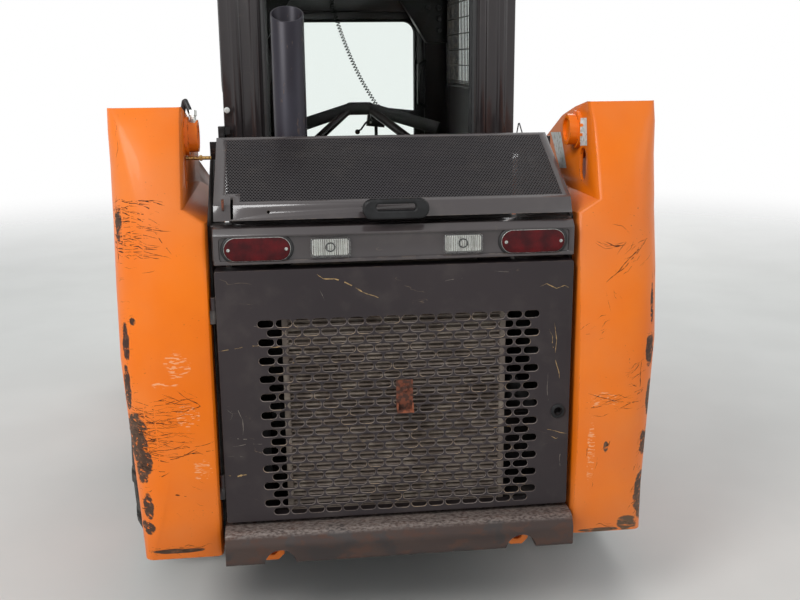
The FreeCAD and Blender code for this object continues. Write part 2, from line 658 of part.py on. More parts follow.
def light_bar():
    """Channel across the rear with a sloped top edge, sunk lamp faces and flanges to the frame."""
    profile = [
        (fore(0), BAR_BOTTOM_Z, 3),
        (fore(BAR_DEPTH), BAR_BOTTOM_Z),
        (fore(BAR_DEPTH), BAR_TOP_Z),
        (fore(14), BAR_TOP_Z, 4),
        (fore(0), BAR_TOP_Z - 16, 4),
    ]
    bar = slab_x(profile, -BAR_HALF, BAR_HALF)
    field = slab_y(rectangle(-BAR_HALF + 14, BAR_HALF - 14, BAR_BOTTOM_Z + 8, BAR_TOP_Z - 22),
                   fore(-1), fore(6), 10)
    flange = block(-FRAME_HALF + FRAME_WALL, FRAME_HALF - FRAME_WALL, fore(BAR_DEPTH), fore(78),
                   BAR_BOTTOM_Z, BAR_TOP_Z)
    return fuse(bar.cut(field), flange)


def lamps(centre_x, half, height, radius):
    outline = rectangle(centre_x - half, centre_x + half, LAMP_Z - height / 2, LAMP_Z + height / 2)
    return both_sides(slab_y(outline, fore(6 - LAMP_PROUD), fore(6), radius))


def hood_section(drop):
    """Hood sheet's side outline; drop is how far the sheet's inside lies below its outside."""
    slope = math.atan2(HOOD_FRONT_Z - HOOD_CREASE_Z, HOOD_FRONT_Y - HOOD_CREASE_Y)
    inside_y = HOOD_CREASE_Y + drop * 1.1
    inside_z = HOOD_CREASE_Z - drop * 0.6
    return [
        (HOOD_REAR_Y, HOOD_REAR_Z),
        (HOOD_CREASE_Y, HOOD_CREASE_Z, 8),
        (HOOD_FRONT_Y, HOOD_FRONT_Z),
        (HOOD_FRONT_Y + drop * math.sin(slope), HOOD_FRONT_Z - drop * math.cos(slope)),
        (inside_y, inside_z, 6),
        (HOOD_REAR_Y + drop, HOOD_REAR_Z),
    ]


def engine_hood():
    """Sloping lid with turned-down sides, hinged along its front edge."""
    sheet = slab_x(hood_section(HOOD_SHEET), -HOOD_HALF, HOOD_HALF)
    side = slab_x([(HOOD_REAR_Y + 1, HOOD_REAR_Z), (HOOD_CREASE_Y, HOOD_CREASE_Z, 8), (HOOD_FRONT_Y, HOOD_FRONT_Z),
                   (HOOD_FRONT_Y, HOOD_FRONT_Z - 34), (HOOD_CREASE_Y + 20, HOOD_CREASE_Z - 30)],
                  HOOD_HALF - HOOD_SHEET, HOOD_HALF)
    knuckle = rod_x(HINGE_RADIUS, -HOOD_KNUCKLE_HALF, HOOD_KNUCKLE_HALF, HOOD_HINGE_Y, HOOD_HINGE_Z)
    web = block(-HOOD_KNUCKLE_HALF, HOOD_KNUCKLE_HALF, HOOD_FRONT_Y - 1, HOOD_HINGE_Y + 1,
                HOOD_HINGE_Z, HOOD_FRONT_Z - 3)
    bore = rod_x(HINGE_PIN_RADIUS + RUNNING_FIT, -HOOD_HALF, HOOD_HALF, HOOD_HINGE_Y, HOOD_HINGE_Z)
    return fuse(sheet, side, mirrored(side), knuckle, web).cut(bore)


def hood_handle():
    """Moulded grip over the hood's rear edge, open behind for the fingers."""
    centre_x = -4.0
    z_low, z_high = HOOD_REAR_Z + 2, HOOD_REAR_Z + 44
    outline = [
        (centre_x - HANDLE_HALF, HOOD_REAR_Y - 2),
        (centre_x - HANDLE_HALF + 16, HOOD_REAR_Y - HANDLE_REACH, 20),
        (centre_x + HANDLE_HALF - 16, HOOD_REAR_Y - HANDLE_REACH, 20),
        (centre_x + HANDLE_HALF, HOOD_REAR_Y - 2),
    ]
    grip = slab_z(outline, z_low, z_high)
    gap = block(centre_x - 46, centre_x + 46, HOOD_REAR_Y - HANDLE_REACH + 14, HOOD_REAR_Y + 1,
                z_low - 1, z_high + 1)
    grip = grip.cut(gap)
    back = slab_x([(HOOD_REAR_Y - 2, z_low), (HOOD_REAR_Y - 2, z_high), (HOOD_REAR_Y + 30, z_high),
                   (HOOD_REAR_Y + 30, z_low)], centre_x - HANDLE_HALF, centre_x + HANDLE_HALF)
    under_hood = slab_x([(HOOD_REAR_Y - 60, HOOD_REAR_Z - 60), (HOOD_REAR_Y - 40, HOOD_REAR_Z - 40),
                         (HOOD_REAR_Y - SEAT_GAP, HOOD_REAR_Z), (HOOD_CREASE_Y - SEAT_GAP, HOOD_CREASE_Z),
                         (HOOD_CREASE_Y, HOOD_CREASE_Z + 60), (HOOD_REAR_Y - 60, HOOD_CREASE_Z + 60)],
                        centre_x - HANDLE_HALF - 5, centre_x + HANDLE_HALF + 5)
    return fuse(grip, back).common(under_hood)


def exhaust_stack():
    """Upright pipe from the engine through the deck, cut off at a slant."""
    def pipe(radius, bottom, top):
        foot, head = Vector(STACK_X, STACK_Y, bottom), Vector(STACK_X, STACK_Y, top)
        return flat_sided_rod(radius, foot, head, STACK_SIDES)

    tube = pipe(STACK_RADIUS, ENGINE_TOP_Z, STACK_TOP_Z)
    flange = pipe(STACK_RADIUS + 18, DECK_Z, DECK_Z + 6)
    bore = pipe(STACK_RADIUS - STACK_WALL, STACK_TOP_Z - 300, STACK_TOP_Z + 1)
    reach = STACK_RADIUS + 14
    mitre = slab_x([(STACK_Y - reach, STACK_TOP_Z + 2), (STACK_Y - reach, STACK_TOP_Z - reach),
                    (STACK_Y + reach, STACK_TOP_Z + 2)], STACK_X - reach, STACK_X + reach)
    return fuse(tube, flange).cut([bore, mitre])


def rear_deck():
    """Flat cover between the hood's hinge and the cab, holed for the exhaust; part of the frame."""
    plate = block(-FRAME_HALF, FRAME_HALF, HOOD_FRONT_Y + 16, CAB_REAR_Y, DECK_Z - DECK_THICKNESS, DECK_Z)
    upstand = block(-FRAME_HALF, FRAME_HALF, HOOD_FRONT_Y + 16, HOOD_FRONT_Y + 22, DECK_Z, HOOD_HINGE_Z)
    outer_end = HOOD_KNUCKLE_HALF + HINGE_LENGTH
    knuckle = rod_x(HINGE_RADIUS, HOOD_KNUCKLE_HALF + SEAT_GAP, outer_end, HOOD_HINGE_Y, HOOD_HINGE_Z)
    web = block(HOOD_KNUCKLE_HALF + SEAT_GAP, outer_end, HOOD_HINGE_Y, HOOD_FRONT_Y + 16,
                HOOD_HINGE_Z - HINGE_RADIUS, HOOD_HINGE_Z)
    pin = rod_x(HINGE_PIN_RADIUS, -outer_end, outer_end, HOOD_HINGE_Y, HOOD_HINGE_Z)
    stack_hole = rod_z(STACK_RADIUS + 2, DECK_Z - 10, DECK_Z + 1, STACK_X, STACK_Y)
    return fuse(plate, upstand, knuckle, mirrored(knuckle), web, mirrored(web), pin).cut(stack_hole)


def window_outline(u0, u1, v0, v1, radius):
    return [(u, v, radius) for u, v in rectangle(u0, u1, v0, v1)]


def cab_rear_wall():
    """Rear structure: two ribbed posts, header and panel round the rear window."""
    wall = block(-CAB_HALF, CAB_HALF, CAB_REAR_Y, CAB_REAR_Y + CAB_WALL, RAIL_TOP_Z, CAB_ROOF_Z)
    window = slab_y(window_outline(-REAR_WINDOW_HALF, REAR_WINDOW_HALF, REAR_WINDOW_BOTTOM_Z,
                                   REAR_WINDOW_TOP_Z, WINDOW_CORNER),
                    CAB_REAR_Y - 1, CAB_REAR_Y + CAB_WALL + 1)
    ribs = []
    for x in REAR_RIB_PLACES:
        rib = slab_z([(x - REAR_RIB_WIDTH, CAB_REAR_Y), (x - REAR_RIB_WIDTH / 2, CAB_REAR_Y - REAR_RIB_DEPTH),
                      (x + REAR_RIB_WIDTH / 2, CAB_REAR_Y - REAR_RIB_DEPTH), (x + REAR_RIB_WIDTH, CAB_REAR_Y)],
                     DECK_Z + 2, CAB_ROOF_Z)
        ribs += [rib, mirrored(rib)]
    return fuse(wall.cut(window), *ribs)


def cab_side():
    """Right-hand cab wall with its window opening."""
    profile = [
        (CAB_REAR_Y + CAB_WALL, RAIL_TOP_Z),
        (CAB_FRONT_Y - CAB_WALL, RAIL_TOP_Z),
        (CAB_FRONT_Y - CAB_WALL, CAB_ROOF_Z),
        (CAB_REAR_Y + CAB_WALL, CAB_ROOF_Z),
    ]
    wall = slab_x(profile, CAB_HALF - CAB_WALL, CAB_HALF)
    window = slab_x(window_outline(SIDE_WINDOW_REAR_Y, SIDE_WINDOW_FRONT_Y, SIDE_WINDOW_BOTTOM_Z,
                                   SIDE_WINDOW_TOP_Z, WINDOW_CORNER * 0.6),
                    CAB_HALF - CAB_WALL - 1, CAB_HALF + 1)
    return wall.cut(window)


def cab_front_frame():
    """Front posts, header and sill round the doorway."""
    ring = block(-CAB_HALF, CAB_HALF, CAB_FRONT_Y - CAB_WALL, CAB_FRONT_Y, STEP_Z, CAB_ROOF_Z)
    opening = slab_y(window_outline(-FRONT_OPENING_HALF, FRONT_OPENING_HALF, FRONT_OPENING_BOTTOM_Z,
                                    FRONT_OPENING_TOP_Z, 50), CAB_FRONT_Y - CAB_WALL - 1, CAB_FRONT_Y + 1)
    pieces = []
    for hinge_z in (FRONT_HINGE_LOW_Z, FRONT_HINGE_HIGH_Z):
        top_z = hinge_z + HINGE_LENGTH
        pieces.append(block(FRONT_HINGE_X - 2 * HINGE_RADIUS, FRONT_HINGE_X, CAB_FRONT_Y, FRONT_HINGE_Y + 4,
                            hinge_z, top_z))
        pieces.append(flat_sided_rod(HINGE_RADIUS, Vector(FRONT_HINGE_X, FRONT_HINGE_Y, hinge_z),
                                     Vector(FRONT_HINGE_X, FRONT_HINGE_Y, top_z), BAR_SIDES))
        pieces.append(rod_z(HINGE_PIN_RADIUS, top_z - 2, top_z + HINGE_LENGTH, FRONT_HINGE_X, FRONT_HINGE_Y))
    return fuse(ring.cut(opening), *pieces)


def cab_roof():
    """Roof panel with rounded edges standing a little proud of the walls."""
    half = CAB_HALF + ROOF_OVERHANG
    outline = window_outline(-half, half, CAB_REAR_Y - ROOF_OVERHANG, CAB_FRONT_Y + ROOF_OVERHANG, 40)
    roof = slab_z(outline, CAB_ROOF_Z, CAB_ROOF_Z + ROOF_THICKNESS)
    return fuse(roof, gland(CORD_ROUTE[0], CORD_ROUTE[1], 60, 0))


def pane_y(half, bottom, top, radius, y0):
    outline = window_outline(-half, half, bottom, top, radius)
    return slab_y(outline, y0, y0 + GLASS_THICKNESS)


def cab_windows():
    """Fixed panes: one behind the operator and one in each side wall."""
    outline = window_outline(SIDE_WINDOW_REAR_Y, SIDE_WINDOW_FRONT_Y, SIDE_WINDOW_BOTTOM_Z,
                             SIDE_WINDOW_TOP_Z, WINDOW_CORNER * 0.6)
    middle = CAB_HALF - CAB_WALL / 2
    side = slab_x(outline, middle, middle + GLASS_THICKNESS)
    rear = pane_y(REAR_WINDOW_HALF, REAR_WINDOW_BOTTOM_Z, REAR_WINDOW_TOP_Z, WINDOW_CORNER,
                  CAB_REAR_Y + CAB_WALL / 2)
    return Part.makeCompound([rear, side, mirrored(side)])


FRONT_DOOR_HALF = FRONT_OPENING_HALF + FRONT_DOOR_LAP
FRONT_DOOR_BOTTOM_Z = FRONT_OPENING_BOTTOM_Z - 8
FRONT_DOOR_TOP_Z = FRONT_OPENING_TOP_Z + FRONT_DOOR_LAP
FRONT_DOOR_Y = CAB_FRONT_Y + 2
GLASS_INNER_Y = FRONT_DOOR_Y + FRONT_DOOR_DEPTH / 2
FRONT_HINGE_X = -FRONT_DOOR_HALF - 9
FRONT_HINGE_Y = FRONT_DOOR_Y + 18


def front_door():
    """Framed glass door, hung on the left front post."""
    leaf = slab_y(window_outline(-FRONT_DOOR_HALF, FRONT_DOOR_HALF, FRONT_DOOR_BOTTOM_Z, FRONT_DOOR_TOP_Z, 60),
                  FRONT_DOOR_Y, FRONT_DOOR_Y + FRONT_DOOR_DEPTH)
    light_half = FRONT_DOOR_HALF - FRONT_DOOR_BORDER
    light_bottom, light_top = FRONT_DOOR_BOTTOM_Z + 2 * FRONT_DOOR_BORDER, FRONT_DOOR_TOP_Z - FRONT_DOOR_BORDER
    light = slab_y(window_outline(-light_half, light_half, light_bottom, light_top, 50),
                   FRONT_DOOR_Y - 1, FRONT_DOOR_Y + FRONT_DOOR_DEPTH + 1)
    knuckles, bores = [], []
    for hinge_z in (FRONT_HINGE_LOW_Z, FRONT_HINGE_HIGH_Z):
        low_z, high_z = hinge_z + HINGE_LENGTH + SEAT_GAP, hinge_z + 2 * HINGE_LENGTH
        knuckles.append(flat_sided_rod(HINGE_RADIUS, Vector(FRONT_HINGE_X, FRONT_HINGE_Y, low_z),
                                       Vector(FRONT_HINGE_X, FRONT_HINGE_Y, high_z), BAR_SIDES))
        knuckles.append(block(FRONT_HINGE_X, -FRONT_DOOR_HALF + 4, FRONT_HINGE_Y - 4, FRONT_HINGE_Y + 4,
                              low_z, high_z))
        bores.append(rod_z(HINGE_PIN_RADIUS + RUNNING_FIT, low_z - 1, high_z + 1, FRONT_HINGE_X, FRONT_HINGE_Y))
    return fuse(leaf.cut(light), *knuckles).cut(bores)


def front_door_glass():
    """Door pane, holed for the wiper's shaft."""
    half = FRONT_DOOR_HALF - FRONT_DOOR_BORDER
    pane = pane_y(half, FRONT_DOOR_BOTTOM_Z + 2 * FRONT_DOOR_BORDER, FRONT_DOOR_TOP_Z - FRONT_DOOR_BORDER, 50,
                  GLASS_INNER_Y)
    return pane.cut(rod_y(WIPER_SHAFT_RADIUS + SEAT_GAP, GLASS_INNER_Y - 1, GLASS_INNER_Y + GLASS_THICKNESS + 1,
                          WIPER_X, WIPER_Z))


WIPER_X = 130.0
WIPER_Z = 1362.0
WIPER_SHAFT_RADIUS = 7.0
BRACKET_PLATE = 6.0


GLAND_RADIUS = 12.0
CORD_RADIUS = 9.0
CORD_ROUTE = [
    (-70.0, CAB_FRONT_Y - 88.0, 1900.0),
    (-52.0, CAB_FRONT_Y - 84.0, 1800.0),
    (-14.0, CAB_FRONT_Y - 74.0, 1680.0),
    (34.0, CAB_FRONT_Y - 58.0, 1565.0),
    (84.0, CAB_FRONT_Y - 50.0, 1470.0),
    (WIPER_X, CAB_FRONT_Y - 52.0, 1400.0),
]


def gland(inner, outer, length, gap):
    """Plug on the cord's end at inner, standing away from the cord's last run that comes from outer."""
    away = Vector(*inner) - Vector(*outer)
    away.normalize()
    foot = Vector(*inner) + away * gap
    return flat_sided_rod(GLAND_RADIUS, foot, foot + away * length, BAR_SIDES)


def wiper_motor():
    """Gear motor inside the door glass on a bracket from the door's right stile, its shaft through the pane."""
    can = flat_sided_rod(32, Vector(WIPER_X, GLASS_INNER_Y - 90, WIPER_Z),
                         Vector(WIPER_X, GLASS_INNER_Y - 30, WIPER_Z), CYLINDER_SIDES)
    gearbox = slab_y([(WIPER_X - 46, WIPER_Z - 44), (WIPER_X + 30, WIPER_Z - 52), (WIPER_X + 44, WIPER_Z + 12),
                      (WIPER_X + 10, WIPER_Z + 46), (WIPER_X - 36, WIPER_Z + 30)],
                     GLASS_INNER_Y - 34, GLASS_INNER_Y - SEAT_GAP)
    stile = FRONT_DOOR_HALF - FRONT_DOOR_BORDER
    bracket = slab_y([(WIPER_X + 20, WIPER_Z - 20), (stile - 30, WIPER_Z - 34), (stile + 24, WIPER_Z - 14),
                      (stile + 24, WIPER_Z + 16), (stile - 40, WIPER_Z + 22), (WIPER_X + 20, WIPER_Z + 34)],
                     FRONT_DOOR_Y - BRACKET_PLATE, FRONT_DOOR_Y)
    shaft = rod_y(WIPER_SHAFT_RADIUS, GLASS_INNER_Y - 10, GLASS_INNER_Y + 30, WIPER_X, WIPER_Z)
    socket = gland(CORD_ROUTE[-1], CORD_ROUTE[-2], 20, SEAT_GAP)
    return fuse(can, gearbox, bracket, shaft, socket)


def wiper_arm():
    """Arm and blade in front of the glass, turning on the motor's shaft."""
    glass_outer = GLASS_INNER_Y + GLASS_THICKNESS
    hub = rod_y(13, glass_outer + 4, glass_outer + 24, WIPER_X, WIPER_Z)
    arm = block(WIPER_X - 7, WIPER_X + 7, glass_outer + 14, glass_outer + 22, WIPER_Z - 280, WIPER_Z)
    blade = block(WIPER_X - 5, WIPER_X + 5, glass_outer + 3, glass_outer + 15, WIPER_Z - 400, WIPER_Z - 100)
    shaft_hole = rod_y(WIPER_SHAFT_RADIUS + RUNNING_FIT, glass_outer, glass_outer + 40, WIPER_X, WIPER_Z)
    return fuse(hub, arm, blade).cut(shaft_hole)


def seat_base():
    """Seat box on the rails with a steel back plate that carries the restraint pivots."""
    box = block(-SEAT_BOX_HALF, SEAT_BOX_HALF, SEAT_REAR_Y - 40, SEAT_FRONT_Y, FOOT_FLOOR_Z, SEAT_BOX_TOP_Z)
    plate = block(-SEAT_HALF + 20, SEAT_HALF - 20, SEAT_REAR_Y - 14, SEAT_REAR_Y, SEAT_BOX_TOP_Z, BACK_TOP_Z - 40)
    side = block(SEAT_HALF + 4, SEAT_HALF + 12, SEAT_REAR_Y - 14, RESTRAINT_PIVOT_Y + 30,
                 RESTRAINT_PIVOT_Z - 30, RESTRAINT_PIVOT_Z + 30)
    rung = block(SEAT_HALF - 20, SEAT_HALF + 12, SEAT_REAR_Y - 14, SEAT_REAR_Y, RESTRAINT_PIVOT_Z - 30,
                 RESTRAINT_PIVOT_Z + 30)
    pin = rod_x(RESTRAINT_PIN_RADIUS, SEAT_HALF + 4, RESTRAINT_HALF + RESTRAINT_TUBE + 8, RESTRAINT_PIVOT_Y,
                RESTRAINT_PIVOT_Z)
    right = [side, rung, pin]
    return fuse(box, plate, *(right + [mirrored(piece) for piece in right]))


def seat_cushions():
    """Bottom cushion on the seat box and back cushion on the back plate."""
    bottom = slab_x([(SEAT_REAR_Y + SEAT_GAP, SEAT_BOX_TOP_Z + SEAT_GAP, 20),
                     (SEAT_FRONT_Y - 10, SEAT_BOX_TOP_Z + SEAT_GAP, 20),
                     (SEAT_FRONT_Y - 10, SEAT_BOX_TOP_Z + CUSHION_THICKNESS, 40),
                     (SEAT_REAR_Y + SEAT_GAP, SEAT_BOX_TOP_Z + CUSHION_THICKNESS, 20)], -SEAT_HALF, SEAT_HALF)
    back_bottom = SEAT_BOX_TOP_Z + CUSHION_THICKNESS + 4
    back = slab_x([(SEAT_REAR_Y + SEAT_GAP, back_bottom, 20), (SEAT_REAR_Y + BACK_THICKNESS, back_bottom, 30),
                   (SEAT_REAR_Y + BACK_THICKNESS - 20, BACK_TOP_Z, 30), (SEAT_REAR_Y + SEAT_GAP, BACK_TOP_Z, 20)],
                  -SEAT_HALF, SEAT_HALF)
    return Part.makeCompound([bottom, back])


def restraint_bar():
    """Padded lap bar, stored raised: two side legs and a padded crossbar."""
    angle = math.radians(RESTRAINT_REST_DEG)
    pivot = Vector(RESTRAINT_HALF, RESTRAINT_PIVOT_Y, RESTRAINT_PIVOT_Z)
    top = pivot + Vector(0, math.cos(angle), math.sin(angle)) * RESTRAINT_REACH
    far_top = Vector(-top.x, top.y, top.z)
    far_pivot = Vector(-pivot.x, pivot.y, pivot.z)
    bar = chorded_bar([pivot, top, far_top, far_pivot], RESTRAINT_TUBE, BAR_SIDES, RESTRAINT_BEND, 4)
    eyes, bores = [], []
    for side in (1, -1):
        inner, outer = side * (RESTRAINT_HALF - 14), side * (RESTRAINT_HALF + RESTRAINT_TUBE)
        start, end = Vector(inner, pivot.y, pivot.z), Vector(outer, pivot.y, pivot.z)
        eyes.append(flat_sided_rod(RESTRAINT_TUBE + 4, start, end, CYLINDER_SIDES))
        bores.append(rod_x(RESTRAINT_PIN_RADIUS + RUNNING_FIT, min(inner, outer) - 20, max(inner, outer) + 20,
                           pivot.y, pivot.z))
    return fuse(bar, *eyes).cut(bores)


def control_levers():
    """Two hand levers on pods beside the knees."""
    lever_x, lever_y = SEAT_BOX_HALF + 35, SEAT_FRONT_Y - 60
    pod = block(SEAT_BOX_HALF, SEAT_BOX_HALF + 70, SEAT_FRONT_Y - 160, SEAT_FRONT_Y - 20, RAIL_TOP_Z, POD_TOP_Z)
    stalk = flat_sided_rod(11, Vector(lever_x, lever_y, POD_TOP_Z - 10), Vector(lever_x, lever_y, 1060), BAR_SIDES)
    grip = flat_sided_rod(22, Vector(lever_x, lever_y, 1050), Vector(lever_x, lever_y, 1170), BAR_SIDES)
    return both_sides(fuse(pod, stalk, grip))


def instrument_panels():
    """Slanted panels in the upper front corners of the cab."""
    outline = [(FRONT_OPENING_HALF - 180, CAB_ROOF_Z), (CAB_HALF - CAB_WALL, CAB_ROOF_Z),
               (CAB_HALF - CAB_WALL, 1660), (FRONT_OPENING_HALF, 1660)]
    return both_sides(slab_y(outline, CAB_FRONT_Y - CAB_WALL - 60, CAB_FRONT_Y - CAB_WALL))


def flat_sided_ring(section, sides):
    """Ring about the X axis whose section (x, corner radius) turns in equal flats."""
    stations = []
    for index in range(sides):
        turn = 2 * math.pi * index / sides
        stations.append([Vector(x, r * math.sin(turn), -r * math.cos(turn)) for x, r in section])
    faces = []
    count = len(section)
    for index in range(sides):
        here, there = stations[index], stations[(index + 1) % sides]
        for i in range(count):
            j = (i + 1) % count
            corners = [here[i], here[j], there[j], there[i], here[i]]
            faces.append(Part.Face(Part.makePolygon(corners)))
    ring = Part.makeSolid(Part.makeShell(faces))
    if ring.Volume < 0:
        ring.reverse()
    return ring


def carcass():
    """Tyre casing without lugs, as a ring about the X axis through the origin."""
    half = TYRE_WIDTH / 2
    tread = TYRE_RADIUS - LUG_HEIGHT
    bead = RIM_HALF_WIDTH - RIM_WALL - SEAT_GAP
    section = [
        (-bead, RIM_RADIUS + SEAT_GAP),
        (-bead, RIM_FLANGE_RADIUS + 6),
        (-half, (RIM_FLANGE_RADIUS + tread) / 2),
        (-half + 30, tread),
        (half - 30, tread),
        (half, (RIM_FLANGE_RADIUS + tread) / 2),
        (bead, RIM_FLANGE_RADIUS + 6),
        (bead, RIM_RADIUS + SEAT_GAP),
    ]
    return flat_sided_ring(section, 2 * LUGS_PER_SIDE)


def tyre_lugs(side):
    """Slanted tread bars of one side of a tyre, side is 1 or -1."""
    outer = TYRE_WIDTH / 2 - 3
    reach = LUG_WIDTH / 2 + LUG_SLANT / 2
    top = math.sqrt(TYRE_RADIUS**2 - reach**2)
    root = TYRE_RADIUS - LUG_HEIGHT - 42
    plan = [(side * 8, reach), (side * 8, reach - LUG_WIDTH), (side * outer, -reach),
            (side * outer, -reach + LUG_WIDTH)]
    bar = Part.makePolygon([Vector(x, y, root) for x, y in plan + plan[:1]])
    lug = Part.Face(bar).extrude(Vector(0, 0, top - root))
    corner_turn = math.degrees(math.atan2(reach, top))
    pitch = 360.0 / LUGS_PER_SIDE
    lugs = []
    for index in range(LUGS_PER_SIDE):
        copy = lug.copy()
        copy.rotate(Vector(0, 0, 0), Vector(1, 0, 0), 180 + corner_turn + pitch * (index + side / 4))
        lugs.append(copy)
    return lugs


def tyre():
    return fuse(carcass(), *(tyre_lugs(1) + tyre_lugs(-1)))


def wheel_disc(radius, x0, x1):
    return flat_sided_rod(radius, Vector(x0, 0, 0), Vector(x1, 0, 0), LUGS_PER_SIDE)


def rim():
    """Right-hand wheel: drop-centre rim, dished disc and hub with a bore for the stub axle."""
    flange, seat, inside = RIM_FLANGE_RADIUS, RIM_RADIUS, RIM_RADIUS - RIM_WALL
    outer, shoulder = RIM_HALF_WIDTH, RIM_HALF_WIDTH - RIM_WALL
    section = [
        (-outer, flange), (-outer, inside), (outer, inside), (outer, flange),
        (shoulder, flange), (shoulder, seat), (-shoulder, seat), (-shoulder, flange),
    ]
    band = flat_sided_ring(section, LUGS_PER_SIDE)
    disc_face, disc_back = DISC_OFFSET, DISC_OFFSET - DISC_THICKNESS
    disc = wheel_disc(inside + 1, disc_back, disc_face)
    hub_back = FRAME_HALF + STUB_FLANGE_LENGTH + HUB_GAP - TRACK_HALF
    hub = wheel_disc(HUB_RADIUS, hub_back, disc_back + 1)
    cap = wheel_disc(HUB_CAP_RADIUS, disc_face - 1, disc_face + HUB_CAP_LENGTH)
    bore = rod_x(STUB_RADIUS + RUNNING_FIT, -TRACK_HALF, DISC_OFFSET, 0, 0)
    return fuse(band, disc, hub, cap).cut(bore)


def placed_wheel(shape, side, axle_y):
    """A right-hand wheel piece about the origin, set on its axle; side is 1 or -1."""
    copy = shape.copy()
    copy.translate(Vector(TRACK_HALF, 0, 0))
    if side < 0:
        copy = mirrored(copy)
    copy.translate(Vector(0, axle_y, TYRE_RADIUS))
    return copy


def axle_stubs():
    """Fixed spindles from the chain cases into the wheel hubs."""
    stubs = []
    for axle_y in (REAR_AXLE_Y, FRONT_AXLE_Y):
        stub = rod_x(STUB_RADIUS, FRAME_HALF + STUB_FLANGE_LENGTH, TRACK_HALF + DISC_OFFSET - 4,
                     axle_y, TYRE_RADIUS)
        stubs += [stub, mirrored(stub)]
    return Part.makeCompound(stubs)


def arm_profile():
    """Side outline of a lift arm: long upper beam, knee and front leg."""
    return [
        (PIVOT_Y - 84, PIVOT_Z + 10, 50),
        (PIVOT_Y - 28, PIVOT_Z - 64, 50),
        (fore(560), 1212),
        (fore(ARM_FRONT - 592), 884),
        (fore(ARM_FRONT - 342), 800, 90),
        (fore(ARM_FRONT - 162), 560, 120),
        (fore(ARM_FRONT - 110), 238),
        (fore(ARM_FRONT - 6), 238),
        (fore(ARM_FRONT), 430, 120),
        (fore(ARM_FRONT - 122), 800, 160),
        (fore(ARM_FRONT - 237), 960, 90),
        (fore(ARM_FRONT - 552), 1062, 200),
        (fore(560), 1362),
        (PIVOT_Y - 10, PIVOT_Z + 64, 50),
    ]


def lift_arm():
    """Right-hand arm as a box beam with its pivot hub, cylinder lugs and tilt pin."""
    left, right = ARM_CENTRE - ARM_WIDTH / 2, ARM_CENTRE + ARM_WIDTH / 2
    beam = slab_x(arm_profile(), left, right)
    hub = flat_sided_rod(PIVOT_PIN_RADIUS + 28, Vector(TOWER_TOP_INNER + TOWER_PLATE + 3, PIVOT_Y, PIVOT_Z),
                         Vector(TOWER_OUTER - TOWER_PLATE - 3, PIVOT_Y, PIVOT_Z), CYLINDER_SIDES)
    gap = LIFT_EYE_WIDTH / 2 + 3
    roof = LIFT_PIN_Z + LIFT_EYE_RADIUS + 14
    notch = slab_x([(LIFT_PIN_Y - 340, 1040), (LIFT_PIN_Y + 60, 1040), (LIFT_PIN_Y + 60, roof),
                    (LIFT_PIN_Y - 60, roof), (LIFT_PIN_Y - 110, 1182), (LIFT_PIN_Y - 340, 1165)],
                   ARM_CENTRE - gap, ARM_CENTRE + gap)
    lug_profile = [(LIFT_PIN_Y - 90, 1200), (LIFT_PIN_Y - 30, LIFT_PIN_Z - 44), (LIFT_PIN_Y + 30, LIFT_PIN_Z - 44),
                   (LIFT_PIN_Y + 100, 1200)]
    lugs = [slab_x(lug_profile, ARM_CENTRE + offset, ARM_CENTRE + offset + ARM_LUG_THICKNESS)
            for offset in (gap, -gap - ARM_LUG_THICKNESS)]
    pin_reach = gap + ARM_LUG_THICKNESS + PIN_HEAD
    pin_ends = [rod_x(LIFT_PIN_RADIUS, ARM_CENTRE + gap, ARM_CENTRE + pin_reach, LIFT_PIN_Y, LIFT_PIN_Z),
                rod_x(LIFT_PIN_RADIUS, ARM_CENTRE - pin_reach, ARM_CENTRE - gap, LIFT_PIN_Y, LIFT_PIN_Z)]
    boss_start = TILT_CENTRE + TILT_BARREL_RADIUS + SPACER_GAP
    boss = flat_sided_rod(TILT_PIN_RADIUS + 16, Vector(boss_start, TILT_BASE_Y, TILT_BASE_Z),
                          Vector(left, TILT_BASE_Y, TILT_BASE_Z), BAR_SIDES)
    tilt_pin = rod_x(TILT_PIN_RADIUS, TILT_CENTRE - TILT_EYE_WIDTH / 2 - 4, left, TILT_BASE_Y, TILT_BASE_Z)
    arm = fuse(fuse(beam, hub).cut(notch), *lugs, *pin_ends, boss, tilt_pin)
    return arm.cut(rod_x(PIVOT_PIN_RADIUS + RUNNING_FIT, TOWER_TOP_INNER, TOWER_OUTER, PIVOT_Y, PIVOT_Z))


